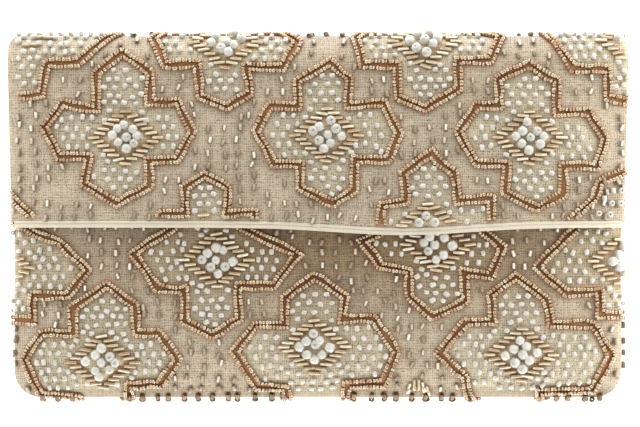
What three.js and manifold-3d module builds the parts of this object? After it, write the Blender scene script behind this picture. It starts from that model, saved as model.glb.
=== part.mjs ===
// Beaded envelope clutch, closed and lying on its back: a hollow linen pouch made of a front and a
// back panel, a fold-over flap with a piped edge, and the plain magnetic snap that holds it shut.
// Millimetres. +X runs along the width, +Y from the bottom fold to the top fold, and +Z out of the
// front. The origin is on the surface that the clutch lies on, under the middle of its outline.
import * as THREE from "three";
import { mergeVertices } from "three/addons/utils/BufferGeometryUtils.js";
import Module from "manifold-3d";

// Driving dimensions
const CLOTH = 1.6; // linen, interfacing and lining sewn up as one wall
const SEAM_GAP = 0.3; // space between two pieces that meet at a seam
const POUCH_WIDTH = 274;
const CLUTCH_HEIGHT = 163; // bottom fold to top fold
const CORNER_RADIUS = 12; // bottom corners of the pouch
const EDGE_HEIGHT = 8; // height of the rounded side edges and the bottom fold
const BELLY_RISE = 12; // front panel above its edges at its fullest
const BELLY_SHARE = 0.52; // height of the fullest place, as a share of the clutch's height
const BACK_DROP = 13; // back panel below its edges before the surface flattens it
const SIDE_POWER = 9; // how late the panels turn over towards their side edges
const FOLD_POWER = 6; // how late they turn over towards the bottom fold
const DOME = 0.2; // share of the rise that the front loses from the middle to the sides
const MOUTH_TAPER = 0.22; // share of the rise that the front loses from the belly to the mouth
const MOUTH_DEPTH = 16; // mouth below the top fold
const LIFT_SOFTNESS = 1.5; // how gently the back lifts off the surface near its edges
const TURN_UNDER = 9; // front panel turned under to the back at the sides and the bottom
const BACK_CUT = 4; // height up to which the back is cut out of the pouch for the back panel
const FLAP_WIDTH = 279; // at the top fold
const FLAP_EDGE_WIDTH = 275; // at the free edge
const FLAP_EDGE_Y = -2.5; // free edge of the flap's cloth at its sides
const FLAP_CORNER = { drawIn: 3.5, power: 8 }; // the fold's two ends, rounded off
const FLAP_SAG = { x: 38, width: 42, depth: 3.3 }; // where the bead weight draws the edge down
const FLAP_OVERHANG = 7; // the flap turns down this much further out than the pouch
const FLAP_POWER = 8; // how late the flap turns down towards its sides
const FLAP_CLEARANCE = { atFold: 1.1, atEdge: 3.6, atSides: 1.0 };
const PIPING_DIAMETER = 2.2;
const PIPING_INSET = 2; // each end of the piping short of the flap's corner
const SNAP = { x: 0, y: 14, diameter: 14, thickness: 1.9 };

// Soft hollows in the stuffed cloth: the middle, the two half widths and the depth of each
const FRONT_DENTS = [
  { x: -14, y: -22, halfX: 38, halfY: 20, depth: 1.8 },
  { x: 92, y: -30, halfX: 26, halfY: 22, depth: 1.2 },
  { x: -92, y: -26, halfX: 24, halfY: 24, depth: 1.0 },
];
const FLAP_DENTS = [
  { x: -30, y: 22, halfX: 11, halfY: 30, depth: 0.9 },
  { x: 60, y: 30, halfX: 16, halfY: 26, depth: 0.6 },
];

// How finely the curved cloth is divided
const STEPS = {
  ring: 26,
  bottom: 9,
  upper: 7,
  back: 20,
  backRows: 14,
  fold: 12,
  run: 12,
  across: 30,
  piping: 34,
};
const PIPING_SIDES = 10;
const SNAP_SIDES = 24;
const WELD = 1e-3; // corners of a solid that lie closer than this are one corner
const SLOPE_STEP = 1e-3; // small step along the flap that its direction is measured over

// Worked out from the dimensions above
const TOP_Y = CLUTCH_HEIGHT / 2;
const BOTTOM_Y = -CLUTCH_HEIGHT / 2;
const BELLY_Y = BOTTOM_Y + BELLY_SHARE * CLUTCH_HEIGHT;
const MOUTH_Y = TOP_Y - MOUTH_DEPTH;
const FLAP_SEAM_Y = MOUTH_Y + SEAM_GAP;

const COLOURS = { linen: 0xc6b59b, piping: 0xe4d8bd, snap: 0xb9a27a };

// Small helpers
const smooth = (t) => t * t * (3 - 2 * t);
const clamp01 = (t) => Math.min(1, Math.max(0, t));
const roundOff = (t, power) => Math.sqrt(Math.max(0, 1 - Math.abs(t) ** power));
const bump = (t) => Math.exp(-t * t);

function dentDepth(dents, x, y) {
  let depth = 0;
  for (const dent of dents)
    depth += dent.depth * bump((x - dent.x) / dent.halfX) * bump((y - dent.y) / dent.halfY);
  return depth;
}

// The larger of height and floor, with a rounded corner where the cloth lifts off the surface
function liftOff(height, floor) {
  const above = height - floor;
  if (above >= LIFT_SOFTNESS) return height;
  if (above <= -LIFT_SOFTNESS) return floor;
  return floor + (above + LIFT_SOFTNESS) ** 2 / (4 * LIFT_SOFTNESS);
}

// Half the pouch's width at a height, for a wall that lies inset from the outer face
function halfWidth(y, inset) {
  const radius = CORNER_RADIUS - inset;
  const straight = POUCH_WIDTH / 2 - inset;
  const below = Math.max(0, BOTTOM_Y + inset + radius - y);
  return straight - radius + Math.sqrt(Math.max(0, radius * radius - below * below));
}

// How full the pouch is at a height: 0 at the bottom fold, 1 at the belly, less at the mouth
function fullness(y, inset) {
  if (y < BELLY_Y) return roundOff((BELLY_Y - y) / (BELLY_Y - BOTTOM_Y - inset), FOLD_POWER);
  return 1 - MOUTH_TAPER * smooth(clamp01((y - BELLY_Y) / (MOUTH_Y - BELLY_Y)));
}

// Height of the front panel, where across runs from -1 to 1 over the width
function frontHeight(across, y, inset) {
  const rise = (BELLY_RISE - inset) * fullness(y, inset) * (1 - DOME * across * across);
  const x = across * halfWidth(y, 0);
  const dent = dentDepth(FRONT_DENTS, x, y) * fullness(y, inset);
  return EDGE_HEIGHT + (rise - dent) * roundOff(across, SIDE_POWER);
}

// Height of the back panel, flattened where it lies on the surface
function backHeight(across, y, inset) {
  const drop = (BACK_DROP - inset) * Math.min(1, fullness(y, inset) / (1 - MOUTH_TAPER));
  return Math.min(EDGE_HEIGHT, liftOff(EDGE_HEIGHT - drop * roundOff(across, SIDE_POWER), inset));
}

// One closed section of the pouch at a height: over the front from right to left, then along the back
function pouchRing(y, inset) {
  const half = halfWidth(y, inset);
  const ring = [];
  for (let i = 0; i < 2 * STEPS.ring; i++) {
    const angle = (Math.PI * i) / STEPS.ring;
    const across = Math.cos(angle);
    const height = i <= STEPS.ring ? frontHeight : backHeight;
    ring.push(new THREE.Vector3(across * half, y, height(across, y, inset)));
  }
  return ring;
}

// Heights of the sections, close together where the bottom folds
function pouchStations(inset) {
  const stations = [];
  for (let i = 0; i < STEPS.bottom; i++) {
    const angle = (Math.PI / 2) * (1 - i / STEPS.bottom);
    stations.push(BELLY_Y - (BELLY_Y - BOTTOM_Y - inset) * Math.sin(angle));
  }
  for (let i = 0; i <= STEPS.upper; i++)
    stations.push(BELLY_Y + ((MOUTH_Y - BELLY_Y) * i) / STEPS.upper);
  return stations;
}

// A geometry from rings of points, each ring joined to the next
function skin(rings) {
  const count = rings[0].length;
  const positions = rings.flat().flatMap((point) => point.toArray());
  const index = [];
  for (let r = 0; r < rings.length - 1; r++)
    for (let c = 0; c < count; c++) {
      const next = (c + 1) % count;
      const here = r * count;
      const beyond = here + count;
      index.push(here + c, beyond + c, here + next, here + next, beyond + c, beyond + next);
    }
  const geometry = new THREE.BufferGeometry();
  geometry.setAttribute("position", new THREE.Float32BufferAttribute(positions, 3));
  geometry.setIndex(index);
  return geometry;
}

// Joins and cuts
const wasm = await Module();
wasm.setup();

function toSolid(geometry) {
  const bare = geometry.clone();
  bare.deleteAttribute("normal");
  bare.deleteAttribute("uv");
  const merged = mergeVertices(bare, WELD);
  const corners = merged.index.array;
  const triVerts = [];
  for (let i = 0; i < corners.length; i += 3) {
    const [a, b, c] = corners.slice(i, i + 3);
    if (a !== b && b !== c && c !== a) triVerts.push(a, b, c);
  }
  return new wasm.Manifold(
    new wasm.Mesh({
      numProp: 3,
      vertProperties: new Float32Array(merged.attributes.position.array),
      triVerts: new Uint32Array(triVerts),
    }),
  );
}

function toGeometry(solid) {
  const mesh = solid.getMesh();
  const geometry = new THREE.BufferGeometry();
  geometry.setAttribute("position", new THREE.BufferAttribute(mesh.vertProperties, 3));
  geometry.setIndex(new THREE.BufferAttribute(mesh.triVerts, 1));
  geometry.computeVertexNormals();
  return geometry;
}

// The whole pouch: an outer and an inner wall joined round the mouth, closed at the bottom fold
function pouchShell() {
  const outer = pouchStations(0).map((y) => pouchRing(y, 0));
  const inner = pouchStations(CLOTH).map((y) => pouchRing(y, CLOTH));
  return toSolid(skin([...outer, ...inner.reverse()]));
}

// The space inside the turned-under edges of the front panel, where the back panel is sewn in
function backWindow() {
  const width = POUCH_WIDTH - 2 * TURN_UNDER;
  const low = BOTTOM_Y + TURN_UNDER;
  const box = new THREE.BoxGeometry(width, TOP_Y - low, 2 * BACK_CUT);
  box.translate(0, (low + TOP_Y) / 2, 0);
  return toSolid(box);
}

// The front panel: the pouch less the stretch of its back that the back panel fills
function frontSolid() {
  return pouchShell().subtract(backWindow());
}

// One row of the back panel, along its outer face and back along its inner one, with a share of
// the cloth's thickness between the two
function backRow(y, share) {
  const reach = (POUCH_WIDTH / 2 - TURN_UNDER - SEAM_GAP) / halfWidth(y, 0);
  const acrosses = Array.from({ length: STEPS.back + 1 }, (_, i) => {
    return reach * Math.sin((Math.PI / 2) * ((2 * i) / STEPS.back - 1));
  });
  const point = (across, side) => {
    const height = backHeight(across, y, 0) + (CLOTH * (1 + share * side)) / 2;
    return new THREE.Vector3(across * halfWidth(y, 0), y, height);
  };
  return [
    ...acrosses.map((across) => point(across, -1)),
    ...acrosses.reverse().map((across) => point(across, 1)),
  ];
}

// The back panel from its bottom seam to the mouth, its two ends turned to a rounded hem
function backSolid() {
  const low = BOTTOM_Y + TURN_UNDER + SEAM_GAP;
  const hem = CLOTH / 2;
  const rows = [backRow(low, 0)];
  for (let i = 0; i <= STEPS.backRows; i++)
    rows.push(backRow(low + hem + ((MOUTH_Y - low - 2 * hem) * i) / STEPS.backRows, 1));
  rows.push(backRow(MOUTH_Y, 0));
  return toSolid(skin(rows));
}

// Flap
function flapEdgeY(x) {
  return FLAP_EDGE_Y - FLAP_SAG.depth * bump((x - FLAP_SAG.x) / FLAP_SAG.width);
}

// Height of the flap's middle layer over the front, clear of the pouch below it
function flapHeight(x, y) {
  const across = x / (POUCH_WIDTH / 2 + FLAP_OVERHANG);
  const round = roundOff(across, FLAP_POWER);
  const rise = BELLY_RISE * fullness(y, 0) * (1 - DOME * across * across);
  const down = clamp01((MOUTH_Y - y) / (MOUTH_Y - FLAP_EDGE_Y));
  const middle = FLAP_CLEARANCE.atFold + (FLAP_CLEARANCE.atEdge - FLAP_CLEARANCE.atFold) * down;
  const clearance = FLAP_CLEARANCE.atSides + (middle - FLAP_CLEARANCE.atSides) * round;
  const dent = dentDepth(FLAP_DENTS, x, y) * smooth(down);
  return EDGE_HEIGHT + (rise - dent) * round + clearance + CLOTH / 2;
}

// The flap's middle layer: side runs from -1 to 1, and along from 0 at the back seam to 1 at the
// top of the front and 2 at the free edge
function flapPoint(side, along) {
  const down = clamp01(along - 1);
  const half = (FLAP_WIDTH + (FLAP_EDGE_WIDTH - FLAP_WIDTH) * down) / 2;
  if (along > 1) {
    const x = side * half;
    const y = MOUTH_Y + (flapEdgeY(x) - MOUTH_Y) * down;
    return new THREE.Vector3(x, y, flapHeight(x, y));
  }
  const angle = Math.PI * along;
  const x = side * (half - FLAP_CORNER.drawIn * Math.sin(angle) ** FLAP_CORNER.power);
  const low = CLOTH / 2;
  const high = flapHeight(x, MOUTH_Y);
  const start = FLAP_SEAM_Y - SEAM_GAP * along;
  const reach = TOP_Y - CLOTH / 2 - FLAP_SEAM_Y + SEAM_GAP / 2;
  const height = low + ((high - low) * (1 - Math.cos(angle))) / 2;
  return new THREE.Vector3(x, start + reach * Math.sin(angle), height);
}

// The direction out of the flap's beaded face
function flapNormal(side, along) {
  const acrossWay = flapPoint(side + SLOPE_STEP, along).sub(flapPoint(side - SLOPE_STEP, along));
  const ahead = flapPoint(side, Math.min(2, along + SLOPE_STEP));
  const alongWay = ahead.sub(flapPoint(side, Math.max(0, along - SLOPE_STEP)));
  return alongWay.cross(acrossWay).normalize();
}

function flapStations() {
  const stations = [];
  for (let i = 0; i < STEPS.fold; i++) stations.push(i / STEPS.fold);
  for (let i = 0; i <= STEPS.run; i++) stations.push(1 + i / STEPS.run);
  return stations;
}

// One row of the flap, out along its beaded face and back along its inner one
function flapRow(side, offset) {
  const stations = flapStations();
  const face = (along, away) =>
    flapPoint(side, along).addScaledVector(flapNormal(side, along), away);
  return [
    ...stations.map((along) => face(along, offset)),
    ...stations.reverse().map((along) => face(along, -offset)),
  ];
}

// The flap from right to left, its two side edges turned to a rounded hem
function flapSolid() {
  const hem = CLOTH / FLAP_WIDTH;
  const rows = [flapRow(1, 0)];
  for (let i = 0; i <= STEPS.across; i++) {
    const side = Math.sin((Math.PI / 2) * (1 - (2 * i) / STEPS.across));
    rows.push(flapRow(side * (1 - hem), CLOTH / 2));
  }
  rows.push(flapRow(-1, 0));
  return toSolid(skin(rows));
}

// Piping: a round roll of the pale lining along the flap's free edge
function pipingGeometry() {
  const radius = PIPING_DIAMETER / 2;
  const reach = 1 - (2 * PIPING_INSET) / FLAP_EDGE_WIDTH;
  const points = [];
  for (let i = 0; i <= STEPS.piping; i++) {
    const edge = flapPoint(reach * ((2 * i) / STEPS.piping - 1), 2);
    points.push(edge.add(new THREE.Vector3(0, -(SEAM_GAP + radius), 0)));
  }
  const section = new THREE.Shape();
  section.absarc(0, 0, radius, 0, 2 * Math.PI, false);
  return new THREE.ExtrudeGeometry(section, {
    steps: STEPS.piping,
    curveSegments: PIPING_SIDES / 2,
    extrudePath: new THREE.CatmullRomCurve3(points),
  });
}

// Snap: one plain disc between the flap and the front panel
function snapMesh(material) {
  const geometry = new THREE.CylinderGeometry(
    SNAP.diameter / 2,
    SNAP.diameter / 2,
    SNAP.thickness,
    SNAP_SIDES,
  );
  const mesh = new THREE.Mesh(geometry, material);
  const front = frontHeight(SNAP.x / (POUCH_WIDTH / 2), SNAP.y, 0);
  const under = flapHeight(SNAP.x, SNAP.y) - CLOTH / 2;
  mesh.rotation.x = Math.PI / 2;
  mesh.position.set(SNAP.x, SNAP.y, (front + under) / 2);
  return mesh;
}

function clothMaterial(color, roughness) {
  return new THREE.MeshStandardMaterial({ color, roughness, metalness: 0 });
}

function named(name, mesh) {
  mesh.name = name;
  return mesh;
}

// Assembly
const linen = clothMaterial(COLOURS.linen, 0.9);
const pale = clothMaterial(COLOURS.piping, 0.7);
const metal = new THREE.MeshStandardMaterial({ color: COLOURS.snap, roughness: 0.35, metalness: 1 });

const clutch = new THREE.Group();
clutch.add(
  named("front_panel", new THREE.Mesh(toGeometry(frontSolid()), linen)),
  named("back_panel", new THREE.Mesh(toGeometry(backSolid()), linen)),
  named("flap", new THREE.Mesh(toGeometry(flapSolid()), linen)),
  named("flap_piping", new THREE.Mesh(pipingGeometry(), pale)),
  named("magnet_snap", snapMesh(metal)),
);

export default clutch;
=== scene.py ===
# %% [markdown]
# # A beaded evening clutch
# The clutch is a flat linen pouch with a deep flap, covered in hand-sewn bead work: crosses outlined
# in two rows of copper seed beads and filled with white seeds, gold bugles and a knot of pearls.
# It lies on its back, so X runs across it, Y from the bottom fold to the top fold, and Z out of its face.
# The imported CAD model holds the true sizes. It is loaded first, and every piece is built around it.

# %% Load the frame
import math
from collections import namedtuple

import bpy
import numpy as np
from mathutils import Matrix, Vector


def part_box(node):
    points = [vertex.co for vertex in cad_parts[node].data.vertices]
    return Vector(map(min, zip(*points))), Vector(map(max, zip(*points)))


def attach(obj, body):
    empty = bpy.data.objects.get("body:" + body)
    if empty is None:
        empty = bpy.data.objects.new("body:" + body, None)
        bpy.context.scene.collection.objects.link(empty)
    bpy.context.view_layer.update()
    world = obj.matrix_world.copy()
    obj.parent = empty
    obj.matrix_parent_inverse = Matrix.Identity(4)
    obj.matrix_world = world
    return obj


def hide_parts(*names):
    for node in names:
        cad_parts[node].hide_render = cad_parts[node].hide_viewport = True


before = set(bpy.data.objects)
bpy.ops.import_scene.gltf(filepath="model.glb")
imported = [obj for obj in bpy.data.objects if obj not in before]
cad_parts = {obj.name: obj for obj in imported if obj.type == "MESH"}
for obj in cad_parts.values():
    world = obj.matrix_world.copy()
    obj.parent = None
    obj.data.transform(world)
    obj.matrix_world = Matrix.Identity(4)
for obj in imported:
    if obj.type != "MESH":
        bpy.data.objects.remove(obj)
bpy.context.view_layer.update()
MM = 0.001

# %% [markdown]
# ## Camera
# The photograph looks straight down on the clutch from far away, so its sides show no perspective.
# A long lens from 2.5 m gives that. The lens is worked out from the width of the picture on the cloth.

# %% Camera
PICTURE_WIDTH = 0.288
CAMERA_HEIGHT = 2.5
PICTURE_LEVEL = 0.016
PICTURE_CENTRE = (0.0009, 0.0014)


def add_object(name, data):
    """An object with that data, linked to the scene."""
    made = bpy.data.objects.new(name, data)
    bpy.context.scene.collection.objects.link(made)
    return made


camera_data = bpy.data.cameras.new("camera")
camera_data.sensor_width = 36
camera_data.lens = camera_data.sensor_width * (CAMERA_HEIGHT - PICTURE_LEVEL) / PICTURE_WIDTH
camera = add_object("camera", camera_data)
camera.location = (*PICTURE_CENTRE, CAMERA_HEIGHT)
bpy.context.scene.camera = camera
bpy.context.scene.view_settings.view_transform = "Standard"
print("lens in mm:", round(camera_data.lens, 1))

# %% [markdown]
# ## Wiring nodes
# Every finish and every row of beads below is a tree of nodes. One small helper adds a node, sets its
# options, and either links an input or fills it in, so that each tree reads as a list of steps. The
# others are short names for the nodes that come up most.

# %% Helpers for nodes
def socket_named(sockets, key):
    """A socket by its number, or the one of that name that is in use."""
    if isinstance(key, int):
        return sockets[key]
    return next(socket for socket in sockets if socket.name == key and socket.enabled)


def add_node(tree, kind, inputs=None, **options):
    """Adds a node of that kind, with its options set and its inputs linked or filled in."""
    node = tree.nodes.new(kind)
    for name, value in options.items():
        setattr(node, name, value)
    for key, value in (inputs or {}).items():
        socket = socket_named(node.inputs, key)
        if isinstance(value, bpy.types.NodeSocket):
            tree.links.new(value, socket)
        else:
            socket.default_value = value
    return node


def math_node(tree, operation, first, second=0.0, third=0.0):
    """One sum of two or three numbers."""
    return add_node(tree, "ShaderNodeMath", {0: first, 1: second, 2: third}, operation=operation).outputs[0]


def vector_math(tree, operation, first, second):
    """A sum or product of two vectors, or a vector scaled by a number."""
    inputs = {0: first, "Scale" if operation == "SCALE" else 1: second}
    return add_node(tree, "ShaderNodeVectorMath", inputs, operation=operation).outputs[0]


def map_range(tree, value, low, high, start=0.0, end=1.0, curve="LINEAR"):
    """A number carried from one range to another and kept within it."""
    limits = {"Value": value, "From Min": low, "From Max": high, "To Min": start, "To Max": end}
    return add_node(tree, "ShaderNodeMapRange", limits, interpolation_type=curve).outputs["Result"]


def colour_ramp(tree, factor, stops):
    """A colour that runs through (place, colour) stops."""
    node = add_node(tree, "ShaderNodeValToRGB", {"Fac": factor})
    elements = node.color_ramp.elements
    while len(elements) < len(stops):
        elements.new(0.5)
    for element, (place, colour) in zip(elements, stops):
        element.position = place
        element.color = (*colour, 1)
    return node.outputs["Color"]


def new_material(name, **settings):
    """A material with one Principled shader, whose plain settings are given by socket name."""
    material = bpy.data.materials.new(name)
    material.use_nodes = True
    shader = material.node_tree.nodes["Principled BSDF"]
    for key, value in settings.items():
        shader.inputs[key.replace("_", " ")].default_value = value
    return material, material.node_tree, shader


# %% [markdown]
# ## Studio
# The photograph is lit as shop pictures are, in a light tent: four bright panels all round and a darker
# top where the camera looks in. A bead mirrors what is around it, so it shows light on its flanks and a
# dark middle. The low walls and the fill light only the cloth: gloss doesn't see them, so they draw no
# hard lines on the beads. The floor is so bright that it turns white.

# %% Floor and lights
FLOOR_SIZE = 4.0
FLOOR_GLOW = 0.55
WORLD_TINT = (1, 0.86, 0.68, 1)
WORLD_STRENGTH = 0.1

floor_mesh = bpy.data.meshes.new("floor")
half_floor = FLOOR_SIZE / 2
floor_corners = [(-half_floor, -half_floor, 0), (half_floor, -half_floor, 0)]
floor_corners += [(half_floor, half_floor, 0), (-half_floor, half_floor, 0)]
floor_mesh.from_pydata(floor_corners, [], [(0, 1, 2, 3)])
floor = add_object("floor", floor_mesh)
floor_paint, _, floor_shader = new_material("floor_paper", Roughness=0.9)
floor_shader.inputs["Base Color"].default_value = (0.9, 0.9, 0.9, 1)
floor_shader.inputs["Emission Color"].default_value = (1, 1, 1, 1)
floor_shader.inputs["Emission Strength"].default_value = FLOOR_GLOW
floor_mesh.materials.append(floor_paint)

world = bpy.data.worlds.new("studio")
bpy.context.scene.world = world
world.use_nodes = True
world.node_tree.nodes["Background"].inputs["Color"].default_value = WORLD_TINT
world.node_tree.nodes["Background"].inputs["Strength"].default_value = WORLD_STRENGTH

Light = namedtuple("Light", "name x y z width length watts shines")
LIGHTS = [
    Light("top_panel", 0.0, 0.57, 0.57, 1.1, 0.58, 2.45, True),
    Light("bottom_panel", 0.0, -0.57, 0.57, 1.1, 0.58, 1.75, True),
    Light("left_panel", -0.57, 0.0, 0.57, 1.1, 0.58, 1.75, True),
    Light("right_panel", 0.57, 0.0, 0.57, 1.1, 0.58, 1.6, True),
    Light("top_wall", 0.0, 0.46, 0.2, 0.9, 0.25, 1.75, False),
    Light("low_top_wall", 0.0, 0.42, 0.075, 0.9, 0.09, 1.5, False),
    Light("bottom_wall", 0.0, -0.2, 0.075, 0.5, 0.06, 0.48, False),
    Light("left_wall", -0.27, 0.0, 0.08, 0.2, 0.08, 0.16, False),
    Light("right_wall", 0.27, 0.0, 0.08, 0.2, 0.08, 0.36, False),
    Light("fill", 0.0, 0.0, 1.3, 1.2, 1.2, 2.0, False),
]
for light in LIGHTS:
    lamp = bpy.data.lights.new(light.name, "AREA")
    lamp.shape = "RECTANGLE"
    lamp.size = light.width
    lamp.size_y = light.length
    lamp.energy = light.watts
    lamp_object = add_object(light.name, lamp)
    lamp_object.location = (light.x, light.y, light.z)
    towards = -lamp_object.location
    lamp_object.rotation_euler = towards.to_track_quat("-Z", "Y").to_euler()
    lamp_object.visible_camera = False
    lamp_object.visible_glossy = light.shines
    lamp_object.visible_transmission = light.shines
print("lights:", [light.name for light in LIGHTS])

# %% [markdown]
# ## The form of the pouch
# A filled pouch has no flat face. Its front swells towards the middle and rounds off to the sides and the
# bottom fold, and where it is soft the cloth dips. The same few formulas shape the CAD solids, in
# millimetres, so the dressed cloth lies exactly where its solid is. Sizes that can be measured on the
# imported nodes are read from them.

# %% Sizes and height formulas
front_low, front_high = (np.array(corner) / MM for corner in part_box("front_panel"))
flap_high = np.array(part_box("flap")[1]) / MM
CLOTH = 1.6
POUCH_HALF = front_high[0]
BOTTOM_Y = front_low[1]
MOUTH_Y = front_high[1]
TOP_Y = flap_high[1]
FLAP_HALF = flap_high[0]
FLAP_TAPER = 2
FLAP_EDGE_HALF = FLAP_HALF - FLAP_TAPER
CORNER_RADIUS = 12
EDGE_HEIGHT = 8
BELLY_RISE = 12
BELLY_Y = BOTTOM_Y + 0.52 * (TOP_Y - BOTTOM_Y)
BACK_DROP = 13
SIDE_POWER = 9
FOLD_POWER = 6
DOME = 0.2
MOUTH_TAPER = 0.22
LIFT_SOFTNESS = 1.5
FLAP_EDGE_Y = -2.5
FLAP_SAG = {"x": 38, "width": 42, "depth": 3.3}
FLAP_REACH = POUCH_HALF + 7
FLAP_POWER = 8
FLAP_CLEARANCE = {"fold": 1.1, "edge": 3.6, "sides": 1.0}
SEAM_ABOVE_MOUTH = 0.3
FLAP_SEAM_Y = MOUTH_Y + SEAM_ABOVE_MOUTH
FLAP_CORNER = {"draw_in": 3.5, "power": 8}

Dent = namedtuple("Dent", "x y half_x half_y depth")
FRONT_DENTS = [
    Dent(-14, -22, 38, 20, 1.8),
    Dent(92, -30, 26, 22, 1.2),
    Dent(-92, -26, 24, 24, 1.0),
]
FLAP_DENTS = [Dent(-30, 22, 11, 30, 0.9), Dent(60, 30, 16, 26, 0.6)]


def round_off(share, power):
    """1 in the middle and 0 at share 1, square for a high power and round for a low one."""
    return np.sqrt(np.maximum(0, 1 - np.abs(share) ** power))


def bump(share):
    """A soft hill of height 1."""
    return np.exp(-(share ** 2))


def ease(share):
    """A smooth step from 0 to 1."""
    held = np.clip(share, 0, 1)
    return held * held * (3 - 2 * held)


def dent_depth(dents, x, y):
    """How far the cloth dips at a place."""
    return sum(d.depth * bump((x - d.x) / d.half_x) * bump((y - d.y) / d.half_y) for d in dents)


def half_width(y):
    """Half the pouch's width at a height, with its rounded bottom corners."""
    below = np.maximum(0, BOTTOM_Y + CORNER_RADIUS - y)
    return POUCH_HALF - CORNER_RADIUS + np.sqrt(np.maximum(0, CORNER_RADIUS ** 2 - below ** 2))


def fullness(y):
    """How full the pouch is at a height: 0 at the bottom fold, 1 at the belly, less at the mouth."""
    low = round_off((BELLY_Y - y) / (BELLY_Y - BOTTOM_Y), FOLD_POWER)
    high = 1 - MOUTH_TAPER * ease((y - BELLY_Y) / (MOUTH_Y - BELLY_Y))
    return np.where(y < BELLY_Y, low, high)


def front_height(across, y):
    """Height of the pouch's front at a share of its half width."""
    full = fullness(y)
    rise = BELLY_RISE * full * (1 - DOME * across ** 2)
    dents = dent_depth(FRONT_DENTS, across * half_width(y), y) * full
    return EDGE_HEIGHT + (rise - dents) * round_off(across, SIDE_POWER)


def back_height(across, y):
    """Height of the pouch's back, which settles flat on the table."""
    drop = BACK_DROP * np.minimum(1, fullness(y) / (1 - MOUTH_TAPER)) * round_off(across, SIDE_POWER)
    above = EDGE_HEIGHT - drop
    settled = np.clip(above + LIFT_SOFTNESS, 0, 2 * LIFT_SOFTNESS) ** 2 / (4 * LIFT_SOFTNESS)
    return np.where(above > LIFT_SOFTNESS, above, settled)


def flap_edge_y(x):
    """Where the flap's lower edge runs, with the sag of a soft edge."""
    return FLAP_EDGE_Y - FLAP_SAG["depth"] * bump((x - FLAP_SAG["x"]) / FLAP_SAG["width"])


def flap_height(x, y):
    """Height of the middle of the flap's cloth where it lies over the front."""
    across = x / FLAP_REACH
    rounded = round_off(across, FLAP_POWER)
    rise = BELLY_RISE * fullness(y) * (1 - DOME * across ** 2)
    down = np.clip((MOUTH_Y - y) / (MOUTH_Y - FLAP_EDGE_Y), 0, 1)
    middle = FLAP_CLEARANCE["fold"] + (FLAP_CLEARANCE["edge"] - FLAP_CLEARANCE["fold"]) * down
    clearance = FLAP_CLEARANCE["sides"] + (middle - FLAP_CLEARANCE["sides"]) * rounded
    dents = dent_depth(FLAP_DENTS, x, y) * ease(down)
    return EDGE_HEIGHT + (rise - dents) * rounded + clearance + CLOTH / 2


print("pouch width, clutch height in mm:", 2 * round(POUCH_HALF, 1), round(TOP_Y - BOTTOM_Y, 1))

# %% [markdown]
# ## Cloth skins with a flat chart
# A bead worker sews on flat cloth and makes up the bag afterwards. The script works the same way: each
# cloth is a grid of points, and its UV map, called chart, holds the flat place of each point, in metres.
# A pattern drawn on the chart then follows the cloth round every fold. The front's chart holds lengths
# along the cloth. The flap's does too, but for its face, where the way down is plain Y, and the back's
# holds plain X and Y. Two more attributes help later:
# crosswise is the direction of the weft on the made-up cloth, and beaded is 1 where beads are sewn.

# %% Helpers for cloth grids
def arc_lengths(points, axis):
    """Length along each line of a grid of points, from its start."""
    steps = np.linalg.norm(np.diff(points, axis=axis), axis=-1)
    start = np.zeros_like(np.take(steps, [0], axis=axis))
    return np.concatenate([start, np.cumsum(steps, axis=axis)], axis=axis)


def grid_quads(numbers, chart, turned=False):
    """The quads of a grid of point numbers, shaped as the grid, with the chart place of each corner."""
    corners = [(0, 0), (0, 1), (1, 1), (1, 0)]
    if turned:
        corners.reverse()
    rows, columns = (size - 1 for size in numbers.shape)
    quads = [numbers[r:r + rows, c:c + columns] for r, c in corners]
    places = [chart[r:r + rows, c:c + columns] for r, c in corners]
    return np.stack(quads, axis=-1), np.stack(places, axis=-2)


def unit(vectors):
    """Vectors of length 1."""
    return vectors / np.maximum(np.linalg.norm(vectors, axis=-1, keepdims=True), 1e-9)


ATTRIBUTE_FIELDS = {"FLOAT": "value", "FLOAT_VECTOR": "vector", "FLOAT_COLOR": "color"}


def set_attribute(mesh, name, kind, values, domain="POINT"):
    """Gives a mesh an attribute with a value for each of its points or corners."""
    attribute = mesh.attributes.new(name, kind, domain)
    attribute.data.foreach_set(ATTRIBUTE_FIELDS[kind], np.asarray(values, dtype=np.float32).ravel())


def chart_places(cloth):
    """The flat place of each corner of a cloth's faces, in metres."""
    flat = np.empty(2 * len(cloth.data.loops), dtype=np.float32)
    cloth.data.uv_layers["chart"].data.foreach_get("uv", flat)
    return flat.reshape(-1, 2)


def cloth_skin(name, points, quads, places, crosswise, beaded):
    """An object with one layer of cloth, its chart and its two attributes. Sizes are in millimetres."""
    mesh = bpy.data.meshes.new(name)
    mesh.from_pydata((points * MM).tolist(), [], quads.tolist())
    chart = mesh.uv_layers.new(name="chart")
    chart.data.foreach_set("uv", (places * MM).astype(np.float32).ravel())
    set_attribute(mesh, "crosswise", "FLOAT_VECTOR", unit(crosswise))
    set_attribute(mesh, "beaded", "FLOAT", beaded)
    mesh.shade_smooth()
    print(name, "has", len(mesh.polygons), "faces")
    return add_object(name, mesh)


# %% [markdown]
# ## Front panel
# The front is one piece of linen. It runs from the mouth under the flap down to the bottom fold, and its
# sides and bottom are turned 9 mm under the back. A loft through shares of the half width gives that
# shape. The lines lie closest at the folds, where the cloth turns fastest.

# %% Front panel cloth
TURN_UNDER = 9
FRONT_COLUMNS = 220
FRONT_ROWS = 100
BEADS_UNDER_FLAP = 9
LOWEST_BEAD = 4.6
CHART_ROW_Y = -30

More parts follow.
